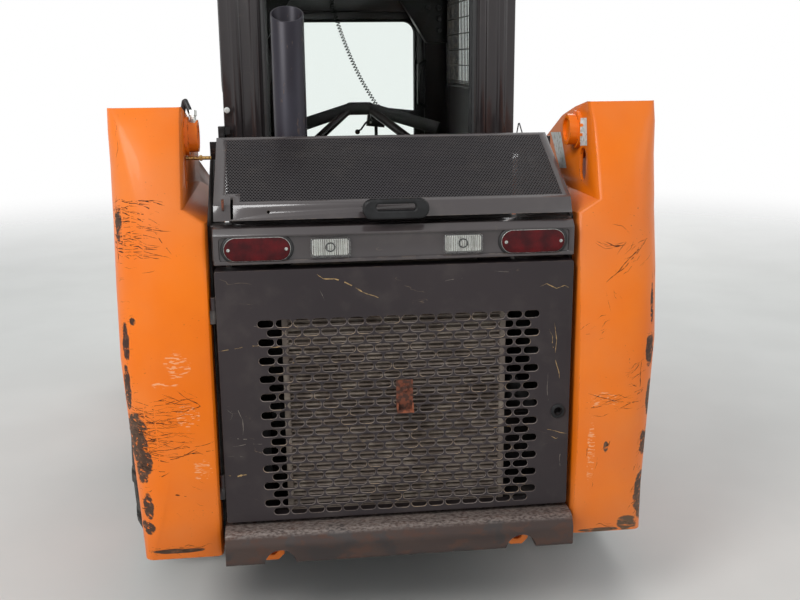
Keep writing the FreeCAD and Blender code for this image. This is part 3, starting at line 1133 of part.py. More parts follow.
def lift_arms():
    """Both arms joined by the cross tube, with an ear at each coupler pivot."""
    arm = lift_arm()
    reach = ARM_CENTRE - ARM_WIDTH / 2
    tube = flat_sided_rod(CROSS_TUBE_RADIUS, Vector(-reach, CROSS_TUBE_Y, CROSS_TUBE_Z),
                          Vector(reach, CROSS_TUBE_Y, CROSS_TUBE_Z), STACK_SIDES)
    ear_profile = [
        (CROSS_TUBE_Y - 48, CROSS_TUBE_Z - 10),
        (COUPLER_PIVOT_Y - 30, COUPLER_PIVOT_Z - 46),
        (COUPLER_PIVOT_Y + 12, COUPLER_PIVOT_Z - 50),
        (COUPLER_PIVOT_Y + 44, COUPLER_PIVOT_Z - 24),
        (COUPLER_PIVOT_Y + 48, COUPLER_PIVOT_Z + 12),
        (COUPLER_PIVOT_Y + 22, COUPLER_PIVOT_Z + 44),
        (CROSS_TUBE_Y + 40, CROSS_TUBE_Z + 48),
        (CROSS_TUBE_Y - 20, CROSS_TUBE_Z + 52),
    ]
    ear = slab_x(ear_profile, EAR_CENTRE - EAR_THICKNESS / 2, EAR_CENTRE + EAR_THICKNESS / 2)
    bore = rod_x(COUPLER_PIN_RADIUS + RUNNING_FIT, EAR_CENTRE - EAR_THICKNESS, EAR_CENTRE + EAR_THICKNESS,
                 COUPLER_PIVOT_Y, COUPLER_PIVOT_Z)
    return fuse(arm, mirrored(arm), tube, ear, mirrored(ear)).cut([bore, mirrored(bore)])


def aligned(shape, start, end, x):
    """Turns a shape drawn along +Y from the origin so that it runs from start to end, both (y, z)."""
    angle = math.degrees(math.atan2(end[1] - start[1], end[0] - start[0]))
    copy = shape.copy()
    copy.rotate(Vector(0, 0, 0), Vector(1, 0, 0), angle)
    copy.translate(Vector(x, start[0], start[1]))
    return copy


def cylinder_barrel(radius, bore_radius, rod_radius, length, eye_radius, eye_width, pin_radius):
    """Barrel along +Y from its base eye at the origin; the gland is at the far end."""
    def along(radius, y0, y1):
        return flat_sided_rod(radius, Vector(0, y0, 0), Vector(0, y1, 0), CYLINDER_SIDES)

    tube = along(radius, eye_radius * 0.6, length)
    eye = flat_sided_rod(eye_radius, Vector(-eye_width / 2, 0, 0), Vector(eye_width / 2, 0, 0), CYLINDER_SIDES)
    hollow = along(bore_radius, eye_radius + 15, length - GLAND_LENGTH)
    gland_bore = rod_y(rod_radius + RUNNING_FIT, length - GLAND_LENGTH - 1, length + 1, 0, 0)
    pin_bore = rod_x(pin_radius + RUNNING_FIT, -radius - 1, radius + 1, 0, 0)
    return fuse(tube, eye).cut([hollow, gland_bore, pin_bore])


def cylinder_rod(radius, length, eye_radius, eye_width, pin_radius):
    """Rod along -Y from its eye at the origin, with the middle of the pin that the eye turns on."""
    shaft = rod_y(radius, -length, -eye_radius * 0.6, 0, 0)
    eye = flat_sided_rod(eye_radius, Vector(-eye_width / 2, 0, 0), Vector(eye_width / 2, 0, 0), CYLINDER_SIDES)
    pin_half = eye_width / 2 + 1
    return fuse(shaft, eye, rod_x(pin_radius, -pin_half, pin_half, 0, 0))


def lift_cylinders():
    start, end = (BASE_PIN_Y, BASE_PIN_Z), (LIFT_PIN_Y, LIFT_PIN_Z)
    barrel = cylinder_barrel(LIFT_BARREL_RADIUS, LIFT_BORE_RADIUS, LIFT_ROD_RADIUS, LIFT_BARREL_LENGTH,
                             LIFT_EYE_RADIUS, LIFT_EYE_WIDTH, BASE_PIN_RADIUS)
    rod = cylinder_rod(LIFT_ROD_RADIUS, LIFT_ROD_LENGTH, LIFT_EYE_RADIUS, LIFT_EYE_WIDTH, LIFT_PIN_RADIUS)
    rod = both_sides(placed_rod(rod, start, end, ARM_CENTRE))
    return both_sides(aligned(barrel, start, end, ARM_CENTRE)), rod


def placed_rod(rod, start, end, x):
    turned = aligned(rod, start, end, x)
    turned.translate(Vector(0, end[0] - start[0], end[1] - start[1]))
    return turned


def tilt_cylinders():
    start, end = (TILT_BASE_Y, TILT_BASE_Z), (TILT_PIN_Y, TILT_PIN_Z)
    barrel = cylinder_barrel(TILT_BARREL_RADIUS, TILT_BORE_RADIUS, TILT_ROD_RADIUS, TILT_BARREL_LENGTH,
                             TILT_EYE_RADIUS, TILT_EYE_WIDTH, TILT_PIN_RADIUS)
    rod = cylinder_rod(TILT_ROD_RADIUS, TILT_ROD_LENGTH, TILT_EYE_RADIUS, TILT_EYE_WIDTH, TILT_PIN_RADIUS)
    rod = both_sides(placed_rod(rod, start, end, TILT_CENTRE))
    return both_sides(aligned(barrel, start, end, TILT_CENTRE)), rod


def coupler():
    """Quick-attach frame: face plate with pivot lugs, tilt lugs and their pins."""
    plate = slab_y(rectangle(-COUPLER_HALF, COUPLER_HALF, COUPLER_BOTTOM_Z, COUPLER_TOP_Z),
                   COUPLER_FACE_Y - COUPLER_PLATE, COUPLER_FACE_Y, 10)
    window = slab_y(rectangle(-240, 240, COUPLER_BOTTOM_Z + 90, COUPLER_TOP_Z - 110),
                    COUPLER_FACE_Y - COUPLER_PLATE - 1, COUPLER_FACE_Y + 1, 30)
    back = COUPLER_FACE_Y - COUPLER_PLATE
    sets = (
        # x of the pin's middle, half the width of what turns on it, pin y and z, pin radius, lug radius, half
        # foot, whether the pin's middle is here or in the rod's eye
        (EAR_CENTRE, EAR_THICKNESS / 2, COUPLER_PIVOT_Y, COUPLER_PIVOT_Z, COUPLER_PIN_RADIUS, 44, 76, True),
        (TILT_CENTRE, TILT_EYE_WIDTH / 2, TILT_PIN_Y, TILT_PIN_Z, TILT_PIN_RADIUS, 34, 70, False),
    )
    right = []
    for middle, half, pin_y, pin_z, pin_radius, radius, foot, whole_pin in sets:
        profile = [(back + 1, pin_z - foot), (back + 1, pin_z + foot), (pin_y - radius * 0.4, pin_z + radius),
                   (pin_y - radius, pin_z + radius * 0.4), (pin_y - radius, pin_z - radius * 0.4),
                   (pin_y - radius * 0.4, pin_z - radius)]
        near, far = half + COUPLER_LUG_GAP, half + COUPLER_LUG_GAP + COUPLER_LUG
        right.append(slab_x(profile, middle + near, middle + far))
        right.append(slab_x(profile, middle - far, middle - near))
        if whole_pin:
            right.append(rod_x(pin_radius, middle - far, middle + far, pin_y, pin_z))
        else:
            right.append(rod_x(pin_radius, middle + near, middle + far + PIN_HEAD, pin_y, pin_z))
            right.append(rod_x(pin_radius, middle - far - PIN_HEAD, middle - near, pin_y, pin_z))
    return fuse(plate.cut(window), *(right + [mirrored(piece) for piece in right]))


def bucket():
    """Dirt bucket: rolled back and floor between two side plates, with a hook bar for the coupler."""
    outline = [
        (BUCKET_LIP_Y - EDGE_DEPTH / 2, EDGE_THICKNESS),
        (BUCKET_LIP_Y - EDGE_DEPTH, 0),
        (BUCKET_BACK_Y, 0, HEEL_RADIUS),
        (BUCKET_BACK_Y, BUCKET_HEIGHT),
        (BUCKET_BACK_Y + 90, BUCKET_HEIGHT + 22, 20),
        (BUCKET_LIP_Y - 150, 150, 200),
    ]
    body = slab_x(outline, -BUCKET_HALF, BUCKET_HALF)
    inner = [
        (BUCKET_LIP_Y + 50, BUCKET_WALL),
        (BUCKET_BACK_Y + BUCKET_WALL, BUCKET_WALL, HEEL_RADIUS - BUCKET_WALL),
        (BUCKET_BACK_Y + BUCKET_WALL, BUCKET_HEIGHT + 80),
        (BUCKET_LIP_Y + 50, BUCKET_HEIGHT + 80),
    ]
    body = body.cut(slab_x(inner, -BUCKET_HALF + BUCKET_WALL, BUCKET_HALF - BUCKET_WALL))
    adapter = block(-COUPLER_HALF - 20, COUPLER_HALF + 20, COUPLER_FACE_Y, BUCKET_BACK_Y + 1,
                    HEEL_RADIUS, BUCKET_HEIGHT)
    hook = block(-COUPLER_HALF - 20, COUPLER_HALF + 20, COUPLER_FACE_Y - 34, COUPLER_FACE_Y + 1,
                 COUPLER_TOP_Z + SEAT_GAP, COUPLER_TOP_Z + 18)
    riser = block(-COUPLER_HALF - 20, COUPLER_HALF + 20, COUPLER_FACE_Y, BUCKET_BACK_Y + 1,
                  BUCKET_HEIGHT - 1, COUPLER_TOP_Z + 18)
    return fuse(body, adapter, hook, riser)


def cutting_edge():
    profile = [
        (BUCKET_LIP_Y - EDGE_DEPTH, 0),
        (BUCKET_LIP_Y - 2, 0),
        (BUCKET_LIP_Y, 4),
        (BUCKET_LIP_Y - 40, EDGE_THICKNESS),
        (BUCKET_LIP_Y - EDGE_DEPTH / 2, EDGE_THICKNESS),
    ]
    return slab_x(profile, -BUCKET_HALF, BUCKET_HALF)


def cord_tube(route, radius):
    """Cord's tube with flat sides; each bend takes 0.45 of its shorter run."""
    pieces = bar_run([Vector(*place) for place in route], radius, BAR_SIDES)
    tube = fuse(*pieces)
    section = BAR_SIDES / 2 * radius**2 * math.sin(2 * math.pi / BAR_SIDES)
    length = sum(piece.Volume for piece in pieces) / section
    print("cord length", round(length), "volume ratio", round(tube.Volume / (section * length), 4))
    return tube


def build():
    right_tower = tower()
    lift_barrels, lift_rods = lift_cylinders()
    tilt_barrels, tilt_rods = tilt_cylinders()
    whole_tyre, whole_rim = tyre(), rim()
    nodes = {
        "chassis_frame": chassis_frame(),
        "tower_right": right_tower,
        "tower_left": mirrored(right_tower),
        "rear_bumper": rear_bumper(),
        "tie_down_lugs": tie_down_lugs(),
        "axle_stubs": axle_stubs(),
        "rear_door": rear_door(),
        "light_bar": light_bar(),
        "stop_lamps": lamps(STOP_LAMP_X, STOP_LAMP_HALF, LAMP_HEIGHT, LAMP_HEIGHT / 2 - 0.1),
        "clear_lamps": lamps(CLEAR_LAMP_X, CLEAR_LAMP_HALF, LAMP_HEIGHT * 0.85, 8),
        "engine_hood": engine_hood(),
        "hood_handle": hood_handle(),
        "exhaust_stack": exhaust_stack(),
        "engine_block": block(-ENGINE_HALF, ENGINE_HALF, ENGINE_REAR_Y, ENGINE_FRONT_Y,
                              BEARER_TOP_Z, ENGINE_TOP_Z),
        "radiator": block(-RADIATOR_HALF, RADIATOR_HALF, RADIATOR_REAR_Y, RADIATOR_REAR_Y + RADIATOR_DEPTH,
                          REAR_BEAM_TOP_Z, RADIATOR_TOP_Z),
        "cab_rear_wall": cab_rear_wall(),
        "cab_sides": both_sides(cab_side()),
        "cab_front_frame": cab_front_frame(),
        "cab_roof": cab_roof(),
        "cab_windows": cab_windows(),
        "front_door": front_door(),
        "front_door_glass": front_door_glass(),
        "wiper_motor": wiper_motor(),
        "wiper_arm": wiper_arm(),
        "wiper_cord": cord_tube(CORD_ROUTE, CORD_RADIUS),
        "seat_base": seat_base(),
        "seat_cushions": seat_cushions(),
        "restraint_bar": restraint_bar(),
        "control_levers": control_levers(),
        "instrument_panels": instrument_panels(),
        "lift_arms": lift_arms(),
        "lift_barrels": lift_barrels,
        "lift_rods": lift_rods,
        "coupler": coupler(),
        "bucket": bucket(),
        "cutting_edge": cutting_edge(),
        "tilt_barrels": tilt_barrels,
        "tilt_rods": tilt_rods,
    }
    corners = (("front_right", 1, FRONT_AXLE_Y), ("front_left", -1, FRONT_AXLE_Y),
               ("rear_right", 1, REAR_AXLE_Y), ("rear_left", -1, REAR_AXLE_Y))
    for corner, side, axle_y in corners:
        nodes["tyre_" + corner] = placed_wheel(whole_tyre, side, axle_y)
        nodes["rim_" + corner] = placed_wheel(whole_rim, side, axle_y)
    for node, shape in nodes.items():
        save(node, shape)


build()
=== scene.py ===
# %% [markdown]
# # A skid steer loader, seen from behind
#
# The steel pieces of this loader come from CAD, in metres: +X to the machine's right, +Y forward, +Z up.
# In this lesson we give them what a maker sees from a step away: enamel and its scratches, pressed slots,
# rubber, lamp lenses, cast iron and a stitched seat. Each cell makes one thing, and most print what they
# made.

import math
import random

import bmesh
import bpy
from mathutils import Matrix, Vector, noise
from mathutils.bvhtree import BVHTree


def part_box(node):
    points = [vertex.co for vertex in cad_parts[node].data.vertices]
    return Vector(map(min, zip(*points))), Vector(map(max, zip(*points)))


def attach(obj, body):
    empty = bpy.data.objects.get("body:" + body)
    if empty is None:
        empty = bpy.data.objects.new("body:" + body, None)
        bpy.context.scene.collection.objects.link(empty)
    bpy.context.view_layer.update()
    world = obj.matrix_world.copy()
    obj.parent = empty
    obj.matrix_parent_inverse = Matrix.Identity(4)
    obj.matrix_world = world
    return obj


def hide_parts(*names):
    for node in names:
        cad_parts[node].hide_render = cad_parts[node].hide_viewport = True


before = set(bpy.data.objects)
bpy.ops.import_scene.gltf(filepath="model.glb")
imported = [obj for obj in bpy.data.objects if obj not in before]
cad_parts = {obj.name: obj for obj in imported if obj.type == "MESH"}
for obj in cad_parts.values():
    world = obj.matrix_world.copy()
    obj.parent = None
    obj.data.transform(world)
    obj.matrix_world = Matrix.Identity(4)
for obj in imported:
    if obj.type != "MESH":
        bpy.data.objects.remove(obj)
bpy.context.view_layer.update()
MM = 0.001

# %% [markdown]
# ## Where things are
#
# The rear door's outer face is the plane that everything at the back was measured from. The light bar's
# rear face lies in the same plane, so we read it from the bar's box. A length such as `fore(212)` then
# means 212 mm forward of that plane, in metres.

# %% The rear door's plane
REAR_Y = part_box("light_bar")[0].y


def fore(distance_mm):
    """Y in metres of a place this far forward of the rear door's outer face."""
    return REAR_Y + distance_mm * MM


print("rear door's outer face at y", round(REAR_Y, 4))

# %% [markdown]
# ## The camera
#
# The photograph was taken by someone standing a few steps behind the machine and a little to its left,
# with a phone at chest height, tipped down. A camera is placed by its eye point and three turns: yaw,
# pitch and roll. We build its matrix from those turns instead of aiming at a target, because a target
# would hide the roll.

# %% Camera
EYE = Vector((-0.2856, fore(-2467.7), 1.6))
YAW, PITCH, ROLL = math.radians(6.7238), math.radians(13.6977), math.radians(-0.5131)
SENSOR_MM = 36.0
FOCAL_IN_WIDTHS = 993.07 / 800

ahead = Vector((math.sin(YAW) * math.cos(PITCH), math.cos(YAW) * math.cos(PITCH), -math.sin(PITCH)))
level_right = Vector((math.cos(YAW), -math.sin(YAW), 0))
level_up = level_right.cross(ahead)
right = level_right * math.cos(ROLL) + level_up * math.sin(ROLL)
up = level_up * math.cos(ROLL) - level_right * math.sin(ROLL)

camera = bpy.data.objects.new("camera", bpy.data.cameras.new("camera"))
bpy.context.scene.collection.objects.link(camera)
camera.data.sensor_width = SENSOR_MM
camera.data.lens = SENSOR_MM * FOCAL_IN_WIDTHS
camera.matrix_world = Matrix.Translation(EYE) @ Matrix((right, up, -ahead)).transposed().to_4x4()
bpy.context.scene.camera = camera
print("lens", round(camera.data.lens, 2), "mm")

# %% [markdown]
# ## Colours and shader nodes
#
# Paint colours are easiest to write as the hex values of a colour chart, but shader sockets take linear
# light. One function turns one into the other. A second one adds any shader node, with its settings, its
# values and its links, so that a material reads as a list of nodes.

# %% Colour and node helpers


def linear(hex_colour):
    """An sRGB hex colour as linear red, green, blue and alpha."""
    channels = [int(hex_colour[i:i + 2], 16) / 255 for i in (1, 3, 5)]
    decoded = [c / 12.92 if c <= 0.04045 else ((c + 0.055) / 1.055) ** 2.4 for c in channels]
    return (*decoded, 1.0)


def add_node(tree, kind, settings=None, values=None, links=None):
    """One shader node with its settings; values and links are keyed by input socket."""
    node = tree.nodes.new(kind)
    for name, value in (settings or {}).items():
        setattr(node, name, value)
    for socket, value in (values or {}).items():
        node.inputs[socket].default_value = value
    for socket, source in (links or {}).items():
        tree.links.new(source, node.inputs[socket])
    return node


# %% [markdown]
# ## Finishes in layers
#
# Worn paint is a stack: steel, rust, primer, enamel, dust. So a `Finish` starts as one coat, and each
# later layer covers it where a mask is 1. Masks come from noise whose size is given in millimetres, from
# the height on the machine, or from how close a point is to an edge, where paint goes first.

# %% A finish that takes layers
EDGE_TURN = (0.02, 0.12)
HAIRLINE_CORE = 0.4
# sockets of a mix node: its two terms and its result, for colours and for numbers
MIX_COLOURS, MIX_NUMBERS = (6, 7, 2), (2, 3, 0)


class Finish:
    """A material built in layers, over coordinates in metres that travel with its piece."""

    def __init__(self, name, colour, roughness, slot=None, **values):
        self.material = bpy.data.materials.new(name)
        if slot:
            self.material["slot"] = slot
        self.material.use_nodes = True
        self.tree = self.material.node_tree
        self.tree.nodes.clear()
        base = {"Base Color": linear(colour), "Roughness": roughness, **values}
        self.surface = add_node(self.tree, "ShaderNodeBsdfPrincipled", values=base)
        self.output = add_node(self.tree, "ShaderNodeOutputMaterial",
                               links={"Surface": self.surface.outputs[0]})
        self.place = add_node(self.tree, "ShaderNodeTexCoord").outputs["Object"]

    def calc(self, operation, first, second=0.0):
        """Arithmetic on two masks or numbers."""
        settings = {"operation": operation, "use_clamp": operation != "SUBTRACT"}
        node = add_node(self.tree, "ShaderNodeMath", settings)
        for socket, term in enumerate((first, second)):
            if isinstance(term, (int, float)):
                node.inputs[socket].default_value = term
            else:
                self.tree.links.new(term, node.inputs[socket])
        return node.outputs[0]

    def both(self, first, second):
        """Mask that is 1 only where both masks are; a number makes a mask weaker."""
        return self.calc("MULTIPLY", first, second)

    def ramp(self, source, low, high):
        """0 below low, 1 above high and smooth between them."""
        limits = {"From Min": low, "From Max": high}
        return add_node(self.tree, "ShaderNodeMapRange", {"interpolation_type": "SMOOTHSTEP"}, limits,
                        {"Value": source}).outputs[0]

    def noise(self, size_mm, stretch=(1, 1, 1), detail=4.0, distortion=0.0, shift=(0, 0, 0)):
        """Noise whose blotches are about size_mm across; stretch draws them out along an axis."""
        scale = [1 / (factor * size_mm * MM) for factor in stretch]
        place = add_node(self.tree, "ShaderNodeMapping", values={"Scale": scale, "Location": shift},
                         links={"Vector": self.place})
        values = {"Scale": 1.0, "Detail": detail, "Distortion": distortion}
        cloud = add_node(self.tree, "ShaderNodeTexNoise", values=values, links={"Vector": place.outputs[0]})
        return cloud.outputs[0]

    def blotches(self, size_mm, level=0.55, soft=0.03, **noise):
        """Mask of the noise's high places; a higher level leaves fewer."""
        return self.ramp(self.noise(size_mm, **noise), level - soft, level + soft)

    def hairlines(self, size_mm, width=0.012, **noise):
        """Mask of thin wandering lines, where the noise crosses its middle value."""
        off_middle = add_node(self.tree, "ShaderNodeMath", {"operation": "ABSOLUTE"},
                              links={0: self.calc("SUBTRACT", self.noise(size_mm, **noise), 0.5)})
        return self.calc("SUBTRACT", 1.0, self.ramp(off_middle.outputs[0], width * HAIRLINE_CORE, width))

    def edges(self, radius_mm):
        """Mask that is 1 at the piece's sharp edges, from how far a rounded normal turns."""
        rounded = add_node(self.tree, "ShaderNodeBevel", {"samples": 4}, {"Radius": radius_mm * MM})
        flat = add_node(self.tree, "ShaderNodeNewGeometry")
        agreement = add_node(self.tree, "ShaderNodeVectorMath", {"operation": "DOT_PRODUCT"},
                             links={0: rounded.outputs[0], 1: flat.outputs["Normal"]})
        return self.ramp(self.calc("SUBTRACT", 1.0, agreement.outputs["Value"]), *EDGE_TURN)

    def along(self, axis, low, high, soft):
        """Mask that rises from 0 to 1 over soft at low, and falls again at high, all in metres."""
        split = add_node(self.tree, "ShaderNodeSeparateXYZ", links={0: self.place})
        value = split.outputs["XYZ".index(axis)]
        rising = self.ramp(value, low - soft / 2, low + soft / 2)
        falling = self.ramp(value, high - soft / 2, high + soft / 2)
        return self.calc("SUBTRACT", rising, falling)

    def cover(self, mask, colour, roughness=None, metallic=None):
        """Lays another finish over the one so far, where the mask is 1."""
        layer = {"Base Color": linear(colour), "Roughness": roughness, "Metallic": metallic}
        for socket, value in layer.items():
            if value is None:
                continue
            target = self.surface.inputs[socket]
            in_colour = socket == "Base Color"
            under, over, out = MIX_COLOURS if in_colour else MIX_NUMBERS
            mix = add_node(self.tree, "ShaderNodeMix", {"data_type": "RGBA" if in_colour else "FLOAT"},
                           {under: target.default_value, over: value}, {0: mask})
            if target.is_linked:
                self.tree.links.new(target.links[0].from_socket, mix.inputs[under])
            self.tree.links.new(mix.outputs[out], target)

    def stain(self, size_mm, level, soft, colour, roughness=None, metallic=None, **noise):
        """Lays another finish over the noise's high places."""
        self.cover(self.blotches(size_mm, level, soft, **noise), colour, roughness, metallic)

    def relief(self, height, depth_mm, strength=1.0):
        """Raises the surface by depth_mm where height is 1, as a bump."""
        links = {"Height": height}
        normal = self.surface.inputs["Normal"]
        if normal.is_linked:
            links["Normal"] = normal.links[0].from_socket
        bump = add_node(self.tree, "ShaderNodeBump", values={"Strength": strength, "Distance": depth_mm * MM},
                        links=links)
        self.tree.links.new(bump.outputs[0], normal)


# %% [markdown]
# ## Light and floor
#
# The day was bright but soft: one broad light from behind the viewer's left shoulder, one weaker from the
# right, and pale sky all round. The floor is pale and matte and keeps the machine's shadow. The camera
# sees a white world, and so do mirror and glass rays, while the world lights the paint at a plain level.

# %% Studio
FLOOR_SIZE = 40
FLOOR_FADE = (3.6, 9.0)


def lamp(name, place, aim, size, watts):
    """Round area light, size metres across, that stands at place and shines at aim."""
    light = bpy.data.lights.new(name, "AREA")
    light.shape = "DISK"
    light.size = size
    light.energy = watts
    holder = bpy.data.objects.new(name, light)
    bpy.context.scene.collection.objects.link(holder)
    holder.location = place
    holder.rotation_euler = (Vector(aim) - Vector(place)).to_track_quat("-Z", "Y").to_euler()


lamp("key_light", (-3.2, -5.0, 4.6), (0, -1.2, 0.9), size=2.6, watts=190)
lamp("fill_light", (4.4, -3.4, 3.0), (0, -1.0, 0.8), size=3.0, watts=28)
lamp("front_light", (1.5, 5.5, 4.2), (0, 0.8, 0.9), size=3.0, watts=150)

world = bpy.data.worlds.new("sky")
bpy.context.scene.world = world
world.use_nodes = True
world.node_tree.nodes.clear()
sky_tree = world.node_tree
rays = add_node(sky_tree, "ShaderNodeLightPath")
seen = add_node(sky_tree, "ShaderNodeMath", {"operation": "MAXIMUM"}, links={
    0: rays.outputs["Is Camera Ray"], 1: rays.outputs["Is Transmission Ray"]})
mirrored_too = add_node(sky_tree, "ShaderNodeMath", {"operation": "MAXIMUM"}, links={
    0: seen.outputs[0], 1: rays.outputs["Is Glossy Ray"]})
plain_sky = add_node(sky_tree, "ShaderNodeBackground", values={"Color": linear("#DDE4EA"), "Strength": 0.75})
white_sky = add_node(sky_tree, "ShaderNodeBackground", values={"Color": (1, 1, 1, 1), "Strength": 1.0})
sky_mix = add_node(sky_tree, "ShaderNodeMixShader", links={
    0: mirrored_too.outputs[0], 1: plain_sky.outputs[0], 2: white_sky.outputs[0]})
add_node(sky_tree, "ShaderNodeOutputWorld", links={"Surface": sky_mix.outputs[0]})
bpy.context.scene.view_settings.view_transform = "Standard"

bpy.ops.mesh.primitive_plane_add(size=FLOOR_SIZE, location=(0, 0, 0))
floor = bpy.context.object
floor.name = "floor"
concrete = Finish("swept pale concrete", "#D9D7D2", 0.85)
concrete.stain(600, 0.5, 0.2, "#D4D2CD")
from_middle = add_node(concrete.tree, "ShaderNodeVectorMath", {"operation": "LENGTH"},
                       links={0: concrete.place})
far_away = concrete.ramp(from_middle.outputs["Value"], *FLOOR_FADE)
unseen = add_node(concrete.tree, "ShaderNodeBsdfTransparent")
fading = add_node(concrete.tree, "ShaderNodeMixShader", links={
    0: far_away, 1: concrete.surface.outputs[0], 2: unseen.outputs[0]})
concrete.tree.links.new(fading.outputs[0], concrete.output.inputs["Surface"])
floor.data.materials.append(concrete.material)
print("three lights and a floor")

# %% [markdown]
# ## Shapes
#
# Every added piece is drawn in the machine's own millimetres: x to the right, y forward from the rear
# door's face, z up. A few makers cover all of them: blocks, prisms, turned pieces, bent tubes, cut sheets
# and domed lenses. Each returns a mesh, so pieces can be joined, mirrored and rounded before they are
# shown.

# %% Shape makers
TO_WORLD = Matrix.Translation((0, REAR_Y, 0)) @ Matrix.Scale(MM, 4)
TO_MACHINE = TO_WORLD.inverted()
AXES = "xyz"
OUTWARD, REARWARD, UPWARD = Vector((1, 0, 0)), Vector((0, -1, 0)), Vector((0, 0, 1))
SHARP_DEG = 30


def finished(shape):
    """Mesh of a bmesh, which is used up."""
    mesh = bpy.data.meshes.new("shape")
    shape.to_mesh(mesh)
    shape.free()
    return mesh


def built(shape):
    """Mesh of a closed bmesh, its normals turned outward."""
    bmesh.ops.recalc_face_normals(shape, faces=shape.faces)
    return finished(shape)


def joined(meshes):
    """One mesh from several, which are used up."""
    whole = bmesh.new()
    for mesh in meshes:
        whole.from_mesh(mesh)
        bpy.data.meshes.remove(mesh)
    return finished(whole)


def mirrored(mesh):
    """The mesh's mirror image in the machine's middle plane."""
    other = mesh.copy()
    other.transform(Matrix.Scale(-1, 4, (1, 0, 0)))
    other.flip_normals()
    return other


def both_sides(mesh):
    """The mesh and its mirror image as one."""
    return joined([mesh, mirrored(mesh)])


def prism(outline, axis, low, high, rounding=1.0):
    """Outline drawn across an axis and drawn out along it, from low to high, its edges rounded."""
    shape = bmesh.new()
    along = AXES.index(axis)
    rings = []
    for level in (low, high):
        ring = []
        for pair in outline:
            place = list(pair)
            place.insert(along, level)
            ring.append(shape.verts.new(place))
        rings.append(ring)
        shape.faces.new(ring)
    count = len(outline)
    for i in range(count):
        shape.faces.new((rings[0][i], rings[0][(i + 1) % count], rings[1][(i + 1) % count], rings[1][i]))
    if rounding:
        sharp = [edge for edge in shape.edges if edge.calc_face_angle() > math.radians(SHARP_DEG)]
        bmesh.ops.bevel(shape, geom=sharp, offset=rounding, segments=2, profile=0.5, affect="EDGES",
                        clamp_overlap=True)
    return built(shape)


def block(x0, x1, y0, y1, z0, z1, rounding=1.0):
    """Box between two places on each axis, its edges rounded."""
    return prism([(x0, y0), (x1, y0), (x1, y1), (x0, y1)], "z", z0, z1, rounding)


def lathe(profile, start, end, sides=48):
    """Piece turned about the line from start towards end; profile lists (distance along it, radius)."""
    start = Vector(start)
    along = (Vector(end) - start).normalized()
    side = along.orthogonal().normalized()
    other = along.cross(side)
    shape = bmesh.new()
    rings = []
    for distance, radius in profile:
        middle = start + along * distance
        turns = [2 * math.pi * k / sides for k in range(sides)] if radius else [0.0]
        spokes = [side * math.cos(turn) + other * math.sin(turn) for turn in turns]
        rings.append([shape.verts.new(middle + spoke * radius) for spoke in spokes])
    for near, far in zip(rings, rings[1:]):
        for k in range(sides):
            after = k + 1
            corners = [near[k % len(near)], near[after % len(near)], far[after % len(far)], far[k % len(far)]]
            corners = list(dict.fromkeys(corners))
            if len(corners) > 2:
                shape.faces.new(corners)
    return built(shape)


def turned(profile, place, direction, sides=48):
    """Piece turned about the line that leaves place in a direction."""
    return lathe(profile, place, Vector(place) + direction, sides)


def turned_bar(radius, start, end, sides=48, rounding=1.0):
    """Round bar from start to end with rounded rims."""
    length = (Vector(end) - Vector(start)).length
    profile = [(0, 0), (0, radius - rounding), (rounding, radius), (length - rounding, radius),
               (length, radius - rounding), (length, 0)]
    return lathe(profile, start, end, sides)


def bent(points, bend, steps=8):
    """The points with each inner corner replaced by an arc of this bend radius."""
    points = [Vector(point) for point in points]
    path = [points[0]]
    for before, corner, after in zip(points, points[1:], points[2:]):
        back, on = (before - corner).normalized(), (after - corner).normalized()
        half = back.angle(on) / 2
        reach = bend / math.tan(half)
        centre = corner + (back + on).normalized() * (bend / math.sin(half))
        first, last = corner + back * reach - centre, corner + on * reach - centre
        path += [centre + first.slerp(last, step / steps) for step in range(steps + 1)]
    return path + [points[-1]]


def swept(path, radius, closed=False, fineness=2):
    """Round bar along a path."""
    curve = bpy.data.curves.new("path", "CURVE")
    curve.dimensions = "3D"
    spline = curve.splines.new("POLY")
    spline.points.add(len(path) - 1)
    for point, place in zip(spline.points, path):
        point.co = (*place, 1.0)
    spline.use_cyclic_u = closed
    curve.bevel_depth = radius
    curve.bevel_resolution = fineness
    curve.use_fill_caps = not closed
    return curve_mesh(curve)


def curve_mesh(curve):
    """Mesh of a curve, which is used up."""
    holder = bpy.data.objects.new("holder", curve)
    mesh = bpy.data.meshes.new_from_object(holder)
    bpy.data.objects.remove(holder)
    bpy.data.curves.remove(curve)
    return mesh


def rounded_outline(half_u, half_v, corner, steps=6, middle=(0, 0)):
    """Points round a rectangle with rounded corners, counter-clockwise."""
    points = []
    for quarter, (side_u, side_v) in enumerate(((1, 1), (-1, 1), (-1, -1), (1, -1))):
        for step in range(steps + 1):
            turn = math.pi / 2 * (quarter + step / steps)
            points.append((middle[0] + side_u * (half_u - corner) + corner * math.cos(turn),
                           middle[1] + side_v * (half_v - corner) + corner * math.sin(turn)))
    return points


def sheet_metal(outline, holes, thickness, edge):
    """Flat sheet on its own x and y, with its back at z = 0, holed, its cut edges rounded by the press."""
    curve = bpy.data.curves.new("sheet", "CURVE")
    curve.dimensions = "2D"
    curve.fill_mode = "BOTH"
    curve.extrude = thickness / 2 - edge
    curve.bevel_depth = edge
    curve.bevel_resolution = 1
    curve.offset = -edge
    for line in (outline, *[hole[::-1] for hole in holes]):
        spline = curve.splines.new("POLY")
        spline.points.add(len(line) - 1)
        for point, (u, v) in zip(spline.points, line):
            point.co = (u, v, 0.0, 1.0)
        spline.use_cyclic_u = True
    mesh = curve_mesh(curve)
    mesh.transform(Matrix.Translation((0, 0, thickness / 2)))
    return mesh


